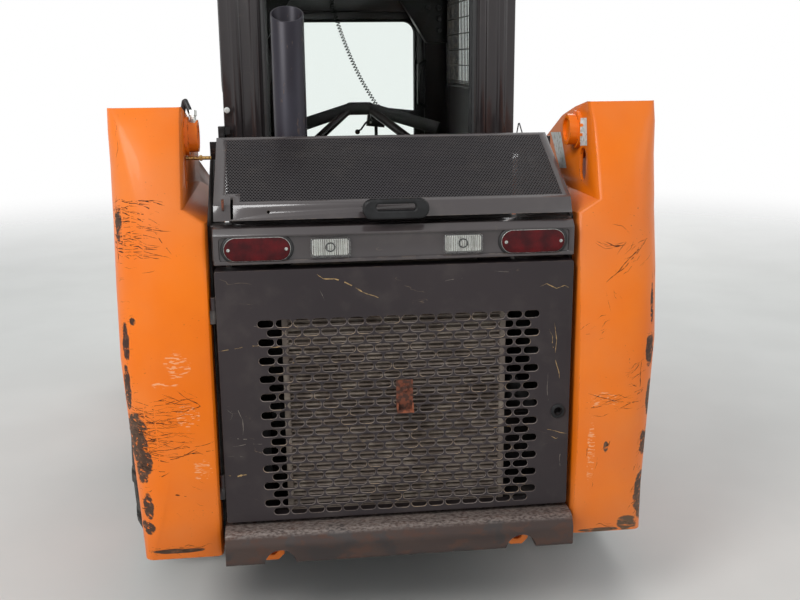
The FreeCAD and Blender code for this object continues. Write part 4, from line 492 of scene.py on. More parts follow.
def domed(middle, half_u, half_v, corner, levels):
    """Rounded cap that stands out to the rear; levels list (inset from its outline, how far out)."""
    x, y, z = middle
    shape = bmesh.new()
    rings = []
    for inset, out in levels:
        outline = rounded_outline(half_u - inset, half_v - inset, max(corner - inset, 1.0), 8)
        rings.append([shape.verts.new((x + u, y - out, z + v)) for u, v in outline])
    for outer, inner in zip(rings, rings[1:]):
        count = len(outer)
        for k in range(count):
            shape.faces.new((outer[k], outer[(k + 1) % count], inner[(k + 1) % count], inner[k]))
    shape.faces.new(rings[0])
    shape.faces.new(rings[-1])
    return built(shape)


def evaluated(holder):
    """Mesh of an object as its modifiers leave it."""
    graph = bpy.context.evaluated_depsgraph_get()
    return bpy.data.meshes.new_from_object(holder.evaluated_get(graph), depsgraph=graph)


def add_modifier(holder, kind, **settings):
    """One more modifier on an object."""
    modifier = holder.modifiers.new(kind, kind)
    for name, value in settings.items():
        setattr(modifier, name, value)
    return modifier


def with_modifier(mesh, kind, **settings):
    """The mesh, which is used up, as one modifier leaves it."""
    holder = bpy.data.objects.new("holder", mesh)
    bpy.context.scene.collection.objects.link(holder)
    add_modifier(holder, kind, **settings)
    result = evaluated(holder)
    bpy.data.objects.remove(holder)
    bpy.data.meshes.remove(mesh)
    return result


def carved(mesh, cutter):
    """The mesh with the cutter's shape taken out of it."""
    tool = bpy.data.objects.new("cutter", cutter)
    bpy.context.scene.collection.objects.link(tool)
    result = with_modifier(mesh, "BOOLEAN", object=tool, operation="DIFFERENCE", solver="EXACT")
    bpy.data.objects.remove(tool)
    bpy.data.meshes.remove(cutter)
    return result


WELD_MM = 0.02
FLAT_DEG = 1
BEVEL_DEG = 35


def cad_mesh(node):
    """A CAD node's mesh in machine millimetres, with its flat faces whole again."""
    shape = bmesh.new()
    shape.from_mesh(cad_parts[node].data)
    shape.transform(TO_MACHINE)
    bmesh.ops.remove_doubles(shape, verts=shape.verts, dist=WELD_MM)
    bmesh.ops.dissolve_limit(shape, angle_limit=math.radians(FLAT_DEG), verts=shape.verts, edges=shape.edges)
    return built(shape)


def softened(mesh, width_mm):
    """The mesh with its sharp edges rounded, as weld, press and paint leave them."""
    mesh.shade_smooth()
    return with_modifier(mesh, "BEVEL", width=width_mm, segments=2, limit_method="ANGLE",
                         angle_limit=math.radians(BEVEL_DEG), harden_normals=True, miter_outer="MITER_ARC")


def piece(name, mesh, material, body="chassis", nodes=(), smooth_deg=40):
    """Shows a mesh as one piece that moves with a body and stands for the given CAD nodes."""
    mesh.name = name
    mesh.transform(TO_WORLD)
    mesh.materials.clear()
    mesh.materials.append(material)
    if smooth_deg is not None:
        mesh.shade_smooth()
        mesh.set_sharp_from_angle(angle=math.radians(smooth_deg))
    made = bpy.data.objects.new(name, mesh)
    bpy.context.scene.collection.objects.link(made)
    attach(made, body)
    if nodes:
        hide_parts(*nodes)
    return made


def rounded_piece(node, width_mm, material, body="chassis"):
    """Stands for a CAD node with the same shape and rounded edges."""
    return piece(node + "_dressed", softened(cad_mesh(node), width_mm), material, body, (node,), None)


print("shape makers ready")

# %% [markdown]
# ## Paints
#
# The towers and arms are steel sprayed with orange enamel, a hard glossy paint. It dulls where it is
# rubbed, fades along the outer bend, and is worn down to brown rust where the tower has been dragged
# along walls. The engine bay wears a dark brown-grey satin enamel. Worn places are listed in millimetres,
# and noise breaks up their outlines.

# %% Orange enamel
WORN_PLACES = (
    # across, up, half width, half height: rubbed to rust on the outer rear bend of each tower
    (-700, 1200, 16, 60), (-672, 962, 10, 12), (-694, 900, 12, 70), (-700, 780, 14, 80), (-694, 650, 52, 84),
    (-668, 590, 30, 50), (-672, 560, 22, 44), (-664, 462, 18, 46), (-668, 400, 24, 24), (-600, 330, 90, 9),
    (690, 950, 8, 70), (684, 830, 20, 58), (692, 690, 16, 60), (682, 560, 22, 46), (676, 410, 28, 92),
    (640, 330, 36, 30), (560, 572, 8, 20), (560, 312, 70, 8),
)
SCUFFED_PLACES = (
    (-566, 850, 40, 50), (-545, 715, 34, 44), (-518, 565, 36, 36), (-600, 800, 40, 10), (520, 560, 14, 130),
    (548, 700, 50, 30),
)
WORN_DEPTH_MM = 170
SPOT_MIDDLE = 1.25
SPOT_BORDER = (0.20, 0.26)


def places_mask(paint, places, ragged_mm=24, shift=(0, 0, 0)):
    """1 inside any of the listed ellipses, seen from behind and WORN_DEPTH_MM deep, with ragged outlines."""
    rough = paint.noise(ragged_mm, stretch=(2.2, 1, 0.8), detail=8, shift=shift)
    whole = None
    for x, z, half_x, half_z in places:
        scale = (1 / (half_x * MM), 1 / (WORN_DEPTH_MM * MM), 1 / (half_z * MM))
        offset = (-x / half_x, -REAR_Y / (WORN_DEPTH_MM * MM), -z / half_z)
        spot = add_node(paint.tree, "ShaderNodeMapping", values={"Scale": scale, "Location": offset},
                        links={"Vector": paint.place})
        distance = add_node(paint.tree, "ShaderNodeVectorMath", {"operation": "LENGTH"},
                            links={0: spot.outputs[0]})
        inside = paint.calc("SUBTRACT", SPOT_MIDDLE, distance.outputs["Value"])
        whole = inside if whole is None else paint.calc("MAXIMUM", whole, inside)
    return paint.ramp(paint.both(whole, rough), *SPOT_BORDER)


def orange_enamel(name, slot, dragged=False):
    """Orange enamel on steel; dragged adds the towers' rubbed and scuffed places."""
    paint = Finish(name, "#F47800", 0.4, slot, **{"Specular IOR Level": 0.28, "Coat Weight": 0.06})
    paint.stain(240, 0.5, 0.2, "#EC7000")
    paint.relief(paint.noise(2.5), 0.04, 0.2)
    if dragged:
        scuffs = paint.both(places_mask(paint, SCUFFED_PLACES, 30, (4, 1, 2)),
                            paint.blotches(6, 0.58, 0.05, detail=8, stretch=(3, 1, 0.7)))
        paint.cover(paint.both(scuffs, 0.6), "#F5B98A", 0.6)
        halo = places_mask(paint, WORN_PLACES, 60, (9, 3, 1))
        thin = paint.both(halo, paint.blotches(5, 0.58, 0.03, detail=8, stretch=(5, 1, 0.8)))
        paint.cover(thin, "#8A4A1E", 0.6)
        bare = places_mask(paint, WORN_PLACES, 26)
        bare = paint.both(bare, paint.blotches(12, 0.38, 0.06, detail=8, stretch=(4, 1, 0.8)))
        paint.cover(bare, "#3B241B", 0.75)
        paint.cover(paint.both(bare, paint.blotches(16, 0.58, 0.04, detail=8)), "#5E3B2A", 0.7)
        paint.relief(paint.calc("SUBTRACT", 1.0, bare), 0.12, 0.5)
    specks = paint.both(paint.blotches(5, 0.74, 0.02, detail=2), paint.blotches(130, 0.55, 0.05))
    paint.cover(specks, "#4A2A16", 0.75)
    chipped = paint.both(paint.edges(4), paint.blotches(16, 0.54, 0.03, detail=8, shift=(5, 2, 7)))
    paint.cover(chipped, "#35211A", 0.8)
    dusty = paint.both(paint.blotches(380, 0.52, 0.2, detail=6, shift=(2, 8, 1)), 0.22)
    paint.cover(dusty, "#B99A78", 0.7)
    return paint.material


plain_orange = orange_enamel("orange enamel on steel", "orange_paint")
tower_orange = orange_enamel("dragged orange enamel on steel", "orange_paint", dragged=True)
rim_orange = orange_enamel("orange enamel of the wheels", "rim_paint")
cylinder_orange = orange_enamel("orange enamel of the cylinders", "cylinder_paint")
print("orange enamels ready,", len(WORN_PLACES), "worn places")

# %% Dark satin enamel


def dark_enamel(name, slot, colour="#2B2426", dusty="#372F30", roughness=0.4, dust=0.16, wear=0.5,
                gloss=0.12):
    """Dark enamel, a little dusty, with dull grey wear at its edges."""
    paint = Finish(name, colour, roughness, slot,
                   **{"Specular IOR Level": 0.24, "Coat Weight": gloss, "Coat Roughness": 0.14})
    paint.cover(paint.both(paint.blotches(340, 0.5, 0.25), 0.6), dusty, roughness + 0.08)
    paint.cover(paint.both(paint.blotches(70, 0.6, 0.12, detail=8), dust), "#5A524D", 0.6)
    paint.relief(paint.noise(1.6), 0.03, 0.15)
    fine = paint.both(paint.hairlines(90, 0.0025, stretch=(3, 1, 1), distortion=0.6),
                      paint.blotches(110, 0.62, 0.03, shift=(4, 4, 1)))
    paint.cover(paint.both(fine, wear * 0.6), "#8A7660", 0.6)
    rubbed = paint.both(paint.edges(2.5), paint.blotches(22, 0.52, 0.05, detail=8, shift=(1, 7, 3)))
    paint.cover(paint.both(rubbed, wear), "#7C6B5C", 0.5)
    return paint.material


body_enamel = dark_enamel("brown-grey satin enamel", "dark_panel_paint")
frame_enamel = dark_enamel("black chassis enamel", "frame_paint", "#211E1F", "#332E2C", 0.45, 0.5)
cab_enamel = dark_enamel("black-brown gloss enamel", "cab_paint", "#282324", "#2F2A2A", 0.3, 0.05, 0.12, 0.4)
# The light bar's and hood's copy of the panel enamel: glossier, and with a lighter base and dust colour that
# are painted light, for the brighter light that falls on them.
bar_enamel = dark_enamel("brown-grey gloss enamel, lighter as painted light", "dark_panel_paint", "#332C2D", "#433B3A", gloss=1.0)
mesh_enamel = dark_enamel("brown-grey enamel of the perforated sheet", "dark_panel_paint",
                          "#2D292C", "#34302F", wear=0.0)
# Pale rims round the door's slots: worn enamel, and under each slot also a painted highlight where the lower
# lip catches the light.
slot_wear_and_highlight = Finish("enamel worn thin at the slots", "#8C8079", 0.5, "dark_panel_paint")
slot_wear_and_highlight.stain(60, 0.5, 0.1, "#5A504C", 0.5, detail=8)
slot_wear_and_highlight.stain(30, 0.6, 0.06, "#A8927A", 0.6, detail=8, shift=(4, 0, 2))
print("dark enamels ready")

# %% [markdown]
# ## Steel, iron, rubber and plastic
#
# Bare metals are fully metallic and keep the default IOR; their colour is what they reflect. Rust, rubber
# and plastics are not metallic, and their look comes from roughness and from how unevenly they take the
# light.

# %% Metals
cast_iron = Finish("rusted cast iron", "#382B27", 0.72, "cast_bumper")
cast_iron.stain(80, 0.5, 0.12, "#42332D", 0.8, detail=8, stretch=(2.5, 1, 1))
cast_iron.stain(26, 0.57, 0.06, "#4A342B", 0.85, detail=8, shift=(2, 0, 5), stretch=(2, 1, 1))
cast_iron.stain(60, 0.6, 0.05, "#2E2624", 0.6, detail=8, shift=(7, 0, 3))
upper_edge = cast_iron.along("Z", 0.378, 0.6, 0.012)
upper_rub = cast_iron.blotches(5, 0.5, 0.2, detail=8, stretch=(2, 1, 1))
cast_iron.cover(cast_iron.both(upper_edge, upper_rub), "#82766F", 0.5, 0.2)
chipped_edge = cast_iron.both(cast_iron.edges(5), cast_iron.blotches(24, 0.56, 0.06, detail=8))
cast_iron.cover(chipped_edge, "#6E625B", 0.55, 0.2)
cast_iron.relief(cast_iron.noise(5, detail=8), 0.4, 0.4)

engine_iron = Finish("oily painted engine iron", "#34312E", 0.55, "engine_iron")
engine_iron.stain(60, 0.56, 0.08, "#4E4237", 0.7, detail=8)
engine_iron.relief(engine_iron.noise(12, detail=8), 0.8, 0.5)

chrome = Finish("hard chromed steel", "#C9CCD0", 0.12, "chrome_rod", Metallic=1.0)
chrome.stain(60, 0.6, 0.1, "#A9ABAE", 0.25, stretch=(1, 1, 5))

zinc = Finish("zinc plated steel", "#B4B6B2", 0.34, "axle_steel", Metallic=1.0)
zinc.stain(7, 0.55, 0.05, "#8E8F8C", 0.5)

brass = Finish("drawn brass", "#B08D57", 0.35, Metallic=1.0)
brass.stain(5, 0.55, 0.06, "#7A6440", 0.55)


def soil_polished(name, slot):
    """Steel that soil has polished, with rust left where the soil doesn't reach."""
    steel = Finish(name, "#8A857F", 0.36, slot, Metallic=0.8)
    steel.stain(120, 0.5, 0.12, "#6A5748", 0.65, 0.25, detail=8, stretch=(3, 1, 1))
    steel.stain(60, 0.62, 0.1, "#54463C", 0.7, 0.15, detail=8, shift=(3, 1, 4), stretch=(1, 3, 1))
    steel.cover(steel.hairlines(50, 0.014, stretch=(0.3, 4, 1)), "#A8A39D", 0.3, 1.0)
    steel.relief(steel.noise(30, stretch=(1, 5, 1)), 0.3, 0.4)
    return steel.material


bucket_steel = soil_polished("bucket plate polished by soil", "bucket_steel")
edge_steel = soil_polished("cutting edge polished by soil", "edge_steel")

rust = Finish("rusted sheet steel", "#6E3A26", 0.85, "orange_paint")
rust.stain(12, 0.5, 0.06, "#44291F", 0.9, detail=8)
rust.stain(30, 0.6, 0.04, "#8C4E33", 0.85, shift=(1, 1, 6))
rust.relief(rust.noise(3, detail=8), 0.3, 0.7)

sooty_steel = Finish("sooty aluminised steel", "#26232A", 0.36, "stack_steel",
                     **{"Metallic": 0.25, "Specular IOR Level": 0.25})
sooty_steel.stain(110, 0.5, 0.12, "#302E36", 0.42, 0.3, detail=8, stretch=(1, 1, 2.5))
sooty_steel.stain(12, 0.66, 0.04, "#4A3D39", 0.6, 0.0, detail=8, shift=(3, 3, 1), stretch=(1, 1, 3))
sooty_steel.relief(sooty_steel.noise(4, detail=6), 0.12, 0.5)
print("metals ready")

# %% Rubber, plastic and lenses
PRISM_MM, FLUTE_MM = 14, 9
tyre_rubber = Finish("moulded tyre rubber", "#1D1C1B", 0.72, "tyre_rubber")
tyre_rubber.stain(120, 0.5, 0.15, "#3A3632", 0.85, detail=8)
tyre_rubber.stain(22, 0.6, 0.06, "#565049", 0.92, detail=8, shift=(1, 1, 8))
tyre_rubber.relief(tyre_rubber.noise(4, detail=6), 0.25, 0.5)

seal_rubber = Finish("extruded EPDM rubber", "#0F0F10", 0.45, "black_plastic")
seal_rubber.stain(16, 0.58, 0.08, "#202021", 0.6)

moulded_abs = Finish("black ABS, moulded with a grain", "#131314", 0.36, "black_plastic",
                     **{"Specular IOR Level": 0.3})
moulded_abs.relief(moulded_abs.noise(1.2), 0.08, 0.5)
moulded_abs.stain(30, 0.56, 0.08, "#1E1E1F", 0.5)

wiper_black = Finish("black powder coat", "#121213", 0.38, "wiper_black")
wiper_black.stain(12, 0.6, 0.05, "#262526", 0.5)

foam_sleeve = Finish("closed-cell foam sleeve", "#1A1A1B", 0.82, "restraint_foam")
foam_sleeve.stain(60, 0.5, 0.12, "#29282A", 0.9, detail=6)
foam_sleeve.relief(foam_sleeve.noise(1.5), 0.2, 0.5)

seat_vinyl = Finish("black embossed vinyl", "#1B1A1B", 0.5, "seat_vinyl")
seat_vinyl.stain(90, 0.52, 0.15, "#353230", 0.65, detail=6)
seat_vinyl.relief(seat_vinyl.noise(1.4, detail=2), 0.15, 0.6)

window_glass = Finish("clear toughened glass", "#F4F8F6", 0.015, "window_glass",
                      **{"IOR": 1.03, "Transmission Weight": 1.0, "Specular IOR Level": 0.5})
window_glass.cover(window_glass.both(window_glass.blotches(50, 0.6, 0.1), 0.015), "#D8D4C8", 0.1)

red_lens = Finish("red acrylic lens", "#360207", 0.2, "red_lens",
                  **{"Coat Weight": 0.2, "Coat Roughness": 0.03, "Specular IOR Level": 0.12})
# paler red blotches: painted highlights, the lighter lit patches of the lens painted into its colour
red_lens.cover(red_lens.both(red_lens.blotches(34, 0.5, 0.2), 0.7), "#62070E", 0.2)
prisms = add_node(red_lens.tree, "ShaderNodeTexWave", {"bands_direction": "X"},
                  {"Scale": 1 / (PRISM_MM * MM) / 2, "Distortion": 0.0}, {"Vector": red_lens.place})
red_lens.relief(prisms.outputs["Fac"], 0.5, 0.35)

clear_lens = Finish("clear acrylic lens", "#F2F4F2", 0.02, "clear_lens",
                    **{"IOR": 1.12, "Transmission Weight": 1.0, "Coat Weight": 1.0, "Coat Roughness": 0.03})
clear_lens.cover(clear_lens.both(clear_lens.blotches(8, 0.6, 0.1), 0.05), "#B9B6AE", 0.3)

reflector = Finish("vapour-coated reflector", "#DCDBD8", 0.3, "clear_lens", Metallic=0.7)
reflector.cover(reflector.both(reflector.blotches(18, 0.5, 0.2), 0.4), "#B9B6B0", 0.35)
flutes = add_node(reflector.tree, "ShaderNodeTexWave", {"bands_direction": "X"},
                  {"Scale": 1 / (FLUTE_MM * MM) / 2, "Distortion": 1.5, "Detail": 3.0},
                  {"Vector": reflector.place})
reflector.cover(reflector.ramp(flutes.outputs["Fac"], 0.55, 0.8), "#6E6862", 0.3, 0.4)

radiator_dust = Finish("dusty aluminium radiator core", "#9A8B80", 0.8, "radiator_core")
radiator_dust.stain(130, 0.5, 0.15, "#7C6D62", 0.85, detail=6)
radiator_dust.stain(40, 0.58, 0.1, "#B0A192", 0.85, detail=8, shift=(2, 2, 2))

blank_label = Finish("blank white vinyl label", "#D9DAD6", 0.4)
blank_label.stain(14, 0.55, 0.08, "#B9B7AE", 0.6, detail=6)
print("rubber, plastics and lenses ready")

# %% [markdown]
# ## The rear door
#
# The door is a pressed pan: a sheet with 341 stadium slots in 22 staggered rows, and four turned-in
# edges. The slots are 42 by 20 mm and 46.3 mm apart, and each row sits 24.7 mm under the one above, half
# a slot aside. Cutting them into a flat outline is quicker than carving a solid, and the press's small
# edge radius comes free. A thin rim of paler enamel lies round every slot: worn enamel all round, and
# under each slot, where the rim is a little wider, also a painted highlight of the lower lip catching light.

# %% Rear door
SLOT_MM = (42, 19.8)
SLOT_PITCH = (46.3, 24.67)
SLOT_ROWS, SLOTS_IN_ROW = 22, 16
SLOT_FIRST = (-361.5, 953.9)
RIM_HALF = (21.7, 10.6)
# the rims sit lower than the slots, so each is wider underneath: that lower part is a painted highlight of
# the lip
RIM_HIGHLIGHT_DROP_MM = 0.7
RIM_SHEET_MM = 0.5
RIM_EDGE_MM = 0.05
DOOR_HALF, DOOR_MIDDLE = (463, 342), (0, 742)
DOOR_SHEET_MM = 5
PRESS_EDGE_MM = 0.9
LATCH_X, LATCH_Z = 432, 670
LATCH_RADIUS = 9.5
HINGE_SPANS = ((504.3, 538), (984.3, 1018))
# a sheet drawn flat, across and up, is turned to face the rear
UPRIGHT = Matrix(((1, 0, 0, 0), (0, 0, -1, 0), (0, 1, 0, 0), (0, 0, 0, 1)))

slot_u, slot_v = SLOT_MM[0] / 2, SLOT_MM[1] / 2
slots, worn_lit_rims = [], []
for row in range(SLOT_ROWS):
    shift = row % 2
    for column in range(SLOTS_IN_ROW - shift):
        x = SLOT_FIRST[0] + slot_u + (column + shift / 2) * SLOT_PITCH[0]
        z = SLOT_FIRST[1] - slot_v - row * SLOT_PITCH[1]
        slots.append(rounded_outline(slot_u, slot_v, slot_v, 3, (x, z)))
        worn_lit_rims.append(rounded_outline(*RIM_HALF, RIM_HALF[1], 3, (x, z - RIM_HIGHLIGHT_DROP_MM)))
latch_hole = rounded_outline(LATCH_RADIUS, LATCH_RADIUS, LATCH_RADIUS, 6, (LATCH_X, LATCH_Z))
face = rounded_outline(*DOOR_HALF, 6, 4, DOOR_MIDDLE)
skin = sheet_metal(face, [*slots, latch_hole], DOOR_SHEET_MM, PRESS_EDGE_MM)
skin.transform(Matrix.Translation((0, DOOR_SHEET_MM, 0)) @ UPRIGHT)
edges = [block(-463, -458, 3, 50, 403, 1081), block(458, 463, 3, 50, 403, 1081),
         block(-460, 460, 3, 50, 400, 405), block(-460, 460, 3, 50, 1079, 1084)]
hinges = []
for low, high in HINGE_SPANS:
    hinges.append(turned_bar(5.5, (-469.5, 2, low), (-469.5, 2, high), 20, 0.6))
    hinges.append(block(-469.5, -459, 3, 7, low, high, 0.5))
piece("rear_door_pan", joined([skin, *edges, *hinges]), body_enamel, "rear_door", ("rear_door",))

# the rim sheet: worn enamel, with a painted highlight under each slot
worn_lit_rim_sheet = sheet_metal(worn_lit_rims[0], [*worn_lit_rims[1:], *slots], RIM_SHEET_MM, RIM_EDGE_MM)
worn_lit_rim_sheet.transform(Matrix.Translation((0, 0.1, 0)) @ UPRIGHT)
piece("slot_rims_worn_and_highlit", worn_lit_rim_sheet, slot_wear_and_highlight.material, "rear_door")

latch_ring = turned([(0, 10), (0, 20), (2.5, 20), (4, 18), (4, 12), (1, 10), (-14, 9.6)],
                    (LATCH_X, 0, LATCH_Z), REARWARD, 36)
piece("door_latch_ring", latch_ring, moulded_abs.material, "rear_door")
bracket = joined([block(-7, 37, -5, 0, 695, 779, 1.5), block(-7, 37, -26, -4, 695, 700, 1.5),
                  block(-7, -3, -20, -4, 697, 720, 1.2), block(33, 37, -20, -4, 697, 720, 1.2)])
piece("door_bracket", bracket, rust.material, "rear_door")
bolt = joined([turned([(0, 0), (0, 11), (2, 11), (2, 0)], (15, -5, 758), REARWARD, 24),
               turned([(0, 0), (0, 8), (6, 8), (7, 6.8), (7, 0)], (15, -7, 758), REARWARD, 6)])
piece("bracket_bolt", bolt, rust.material, "rear_door", smooth_deg=20)
print("door with", len(slots), "slots")

# %% [markdown]
# Behind the slots stands the radiator: level fins, 12 mm apart, in a channel frame, and dusty all over.

# %% Radiator
FIN_COUNT, FIN_PITCH, FIN_MM = 49, 12.3, 4
LOWEST_FIN_Z = 400
CORE_HALF = 286
fins = []
for k in range(FIN_COUNT):
    fin_z = LOWEST_FIN_Z + FIN_PITCH * k
    fins.append(block(-CORE_HALF, CORE_HALF, 70, 84, fin_z, fin_z + FIN_MM, 0))
core_back = block(-CORE_HALF, CORE_HALF, 90, 138, 360, 990, 0)
channel = [block(-300, -284, 70, 140, 350, 1010, 2), block(284, 300, 70, 140, 350, 1010, 2),
           block(-CORE_HALF, CORE_HALF, 70, 140, 985, 1010, 2),
           block(-CORE_HALF, CORE_HALF, 70, 140, 350, 398, 2)]
piece("radiator_core", joined([*fins, core_back, *channel]), radiator_dust.material, nodes=("radiator",))
print("radiator with", len(fins), "fins")

# %% [markdown]
# ## The light bar
#
# The lamps sit in a sunk field of the bar. Each red lens is a stadium dome in a black rubber surround,
# held by a screw at each end; each clear lens is a ribbed rounded rectangle with a bulb behind it. The
# middle of the bar stays bare.

# %% Light bar and lamps
FIELD_Y = 6
LAMP_Z = 1138
RED_LAMP_X, SCREW_X = 353, 72
CLEAR_LAMP_X = 170
RIB_PITCH, RIBS_PER_SIDE = 4.8, 9
rounded_piece("light_bar", 1.6, bar_enamel)
lip = prism([(0, 1099), (-3, 1101), (-3, 1106), (0, 1109)], "x", -458, 458, 0.8)
piece("bar_lower_lip", lip, bar_enamel)

surrounds, rings, reds, screws = [], [], [], []
for side in (-1, 1):
    x = side * RED_LAMP_X
    surrounds.append(domed((x, FIELD_Y, LAMP_Z), 91, 36, 36, ((0, 0), (0, 3), (1.5, 5), (5, 6))))
    rings.append(domed((x, FIELD_Y - 5, LAMP_Z), 83.8, 30.3, 30.3, ((0, 0), (0, 1.4), (0.6, 2), (2.6, 2))))
    reds.append(domed((x, FIELD_Y - 5, LAMP_Z), 82.5, 29, 29, ((0, 0), (0, 4), (1.5, 6), (6, 7), (16, 7))))
    for end in (-1, 1):
        screws.append(turned([(0, 0), (0, 4.2), (0.6, 4.2), (1.2, 2.4), (0.6, 1.6), (0.6, 0)],
                             (x + end * SCREW_X, FIELD_Y - 11.5, LAMP_Z), REARWARD, 20))
piece("lamp_surrounds", joined(surrounds), seal_rubber.material)
piece("lamp_trim_rings", joined(rings), zinc.material)
piece("stop_lamp_lenses", joined(reds), red_lens.material, nodes=("stop_lamps",))
piece("lamp_screws", joined(screws), zinc.material)

bowls, sockets, bulbs, clears = [], [], [], []
for side in (-1, 1):
    x = side * CLEAR_LAMP_X
    bulb_place = (x, FIELD_Y - 4, LAMP_Z)
    bowls.append(domed((x, FIELD_Y - 3, LAMP_Z), 46, 20, 6, ((0, 0), (0, 3), (3, 3.4), (9, 1), (12, 1))))
    sockets.append(turned([(0, 9), (0, 13), (2.6, 12), (2.6, 9)], bulb_place, REARWARD, 28))
    bulbs.append(turned([(0, 0), (0, 8), (2, 9), (4, 8), (5.4, 4), (5.8, 0)], bulb_place, REARWARD, 24))
    clears.append(domed((x, FIELD_Y - 3, LAMP_Z), 51, 25, 8, ((0, 0), (0, 6), (1.5, 8), (5, 9))))
    for k in range(-RIBS_PER_SIDE, RIBS_PER_SIDE + 1):
        clears.append(turned([(0, 0), (0, 1.6), (38, 1.6), (38, 0)],
                             (x + RIB_PITCH * k, FIELD_Y - 11.6, LAMP_Z - 19), UPWARD, 8))
piece("clear_lamp_reflectors", joined(bowls), reflector.material)
piece("clear_lamp_bulbs", joined(bulbs), reflector.material)
piece("clear_lamp_sockets", joined(sockets), moulded_abs.material)
piece("clear_lamp_lenses", joined(clears), clear_lens.material, nodes=("clear_lamps",))
print("lamps on the bar")

# %% [markdown]
# ## The engine hood
#
# The sloping part of the hood is perforated: round holes in a triangular pattern, 8 mm apart. We cut the
# whole field out of the CAD sheet and lay a lattice just under its surface. Each cell of the lattice is a
# hexagon with a hole and the hole's wall.

# %% Hood
CREASE = Vector((0, 31, 1246.5))
UP_SLOPE = Vector((0, 0.8797, 0.4756))
OFF_SLOPE = Vector((0, -0.4756, 0.8797))
SLOPE = Matrix((Vector((1, 0, 0)), UP_SLOPE, OFF_SLOPE)).transposed().to_4x4()
SLOPE.translation = CREASE
HOLE_PITCH = 8.0
HOLE_RADIUS = 2.9
SHEET_DROP, HOLE_FLOOR = -0.3, -2.3
CELL_OVERLAP = 2
# the perforated field on the slope, left, right, low and high, and the corner that is cut out of it
FIELD = (-430, 438, 12, 296)
LOW_CORNER = (-392, 46)


def in_field(u, v, margin):
    """Whether a place on the slope lies in the perforated field, margin inside its outline."""
    left, right, low, high = FIELD
    inside = left + margin < u < right - margin and low + margin < v < high - margin
    return inside and not (u < LOW_CORNER[0] + margin and v < LOW_CORNER[1] + margin)


left, right_edge, low, high = FIELD
cut = prism([(left, LOW_CORNER[1]), (LOW_CORNER[0], LOW_CORNER[1]), (LOW_CORNER[0], low), (right_edge, low),
             (right_edge, high), (left, high)], "z", -20, 20, 0)
cut.transform(SLOPE)
notch = block(-416, -409, -10, 60, 1212, 1262, 0)
peep_hole = turned([(0, 0), (0, 4), (60, 4), (60, 0)], (-322, -5, 1228), -REARWARD, 16)
hood = carved(cad_mesh("engine_hood"), joined([cut, notch, peep_hole]))
piece("hood_sheet", softened(hood, 1.2), bar_enamel, "engine_hood", ("engine_hood",), None)

lattice = bmesh.new()
reach = HOLE_PITCH / math.sqrt(3)
corners = [(math.sin(math.pi * k / 3), math.cos(math.pi * k / 3)) for k in range(6)]
row_pitch = HOLE_PITCH * math.sqrt(3) / 2
cells = 0
for row in range(int((high - low) / row_pitch) + 2):
    for column in range(int((right_edge - left) / HOLE_PITCH) + 2):
        u = left + (column + row % 2 / 2) * HOLE_PITCH
        v = low + row * row_pitch
        if not in_field(u, v, -CELL_OVERLAP):
            continue
        cells += 1
        rim, lip, wall = [], [], []
        for sine, cosine in corners:
            rim.append(lattice.verts.new((u + reach * sine, v + reach * cosine, SHEET_DROP)))
            hole_u, hole_v = u + HOLE_RADIUS * sine, v + HOLE_RADIUS * cosine
            lip.append(lattice.verts.new((hole_u, hole_v, SHEET_DROP)))
            wall.append(lattice.verts.new((hole_u, hole_v, HOLE_FLOOR)))
        for k in range(6):
            after = (k + 1) % 6
            lattice.faces.new((rim[k], lip[k], lip[after], rim[after]))
            lattice.faces.new((lip[k], wall[k], wall[after], lip[after]))
perforated = finished(lattice)
perforated.transform(SLOPE)
piece("hood_perforated_field", perforated, mesh_enamel, "engine_hood", smooth_deg=20)
grip_outline = rounded_outline(84, 25, 24, 8, (-4, 1233))
grip = sheet_metal(grip_outline, [rounded_outline(50, 8, 8, 6, (-4, 1238))], 24, 5)
grip.transform(Matrix.Translation((0, 2, 0)) @ UPRIGHT)
piece("hood_grip", grip, moulded_abs.material, "engine_hood", ("hood_handle",))
rusty_catch = block(-437, -431, 20, 30, 1236, 1262, 1)
piece("hood_catch", rusty_catch, rust.material, "engine_hood")
print("hood with", cells, "holes")

# %% [markdown]
# ## Towers, bumper and exhaust
#
# The towers are folded plate with a wide bend at the outer rear edge, so their own shape is right already
# and they only need the radius that a press brake leaves. The bumper is a casting with softer edges. The
# exhaust is a drawn tube, cut off at a slant, with a clamp at its foot.

# %% Towers, bumper, lugs and exhaust
for side in ("right", "left"):
    rounded_piece("tower_" + side, 2.5, tower_orange)
rounded_piece("rear_bumper", 9, cast_iron.material)
rounded_piece("tie_down_lugs", 2.5, plain_orange)
rounded_piece("engine_block", 14, engine_iron.material)

STACK_X, STACK_Y, STACK_RADIUS = -255, 390, 46
STACK_FOOT, STACK_TOP, CLAMP_Z, DECK_Z = 1040, 1750, 1362, 1338
stack_reach = STACK_RADIUS + 14
pipe = turned([(0, 42), (0, 46), (709, 46), (710, 45), (710, 42.5), (709, 42), (420, 42), (420, 0)],
              (STACK_X, STACK_Y, STACK_FOOT), UPWARD, 56)
for vertex in pipe.vertices:
    if vertex.co.z > STACK_TOP - 50:
        slant = (vertex.co.y - STACK_Y + stack_reach) * (stack_reach + 2) / (2 * stack_reach)
        vertex.co.z += slant - stack_reach
flange = turned([(0, 46), (0, 64), (5, 64), (6, 63), (6, 46)], (STACK_X, STACK_Y, DECK_Z), UPWARD, 48)
clamp = turned([(0, 46), (0.5, 50), (20, 50), (20.5, 46)], (STACK_X, STACK_Y, CLAMP_Z), UPWARD, 48)
piece("exhaust_pipe", joined([pipe, flange, clamp]), sooty_steel.material, nodes=("exhaust_stack",))
print("towers, bumper and exhaust")

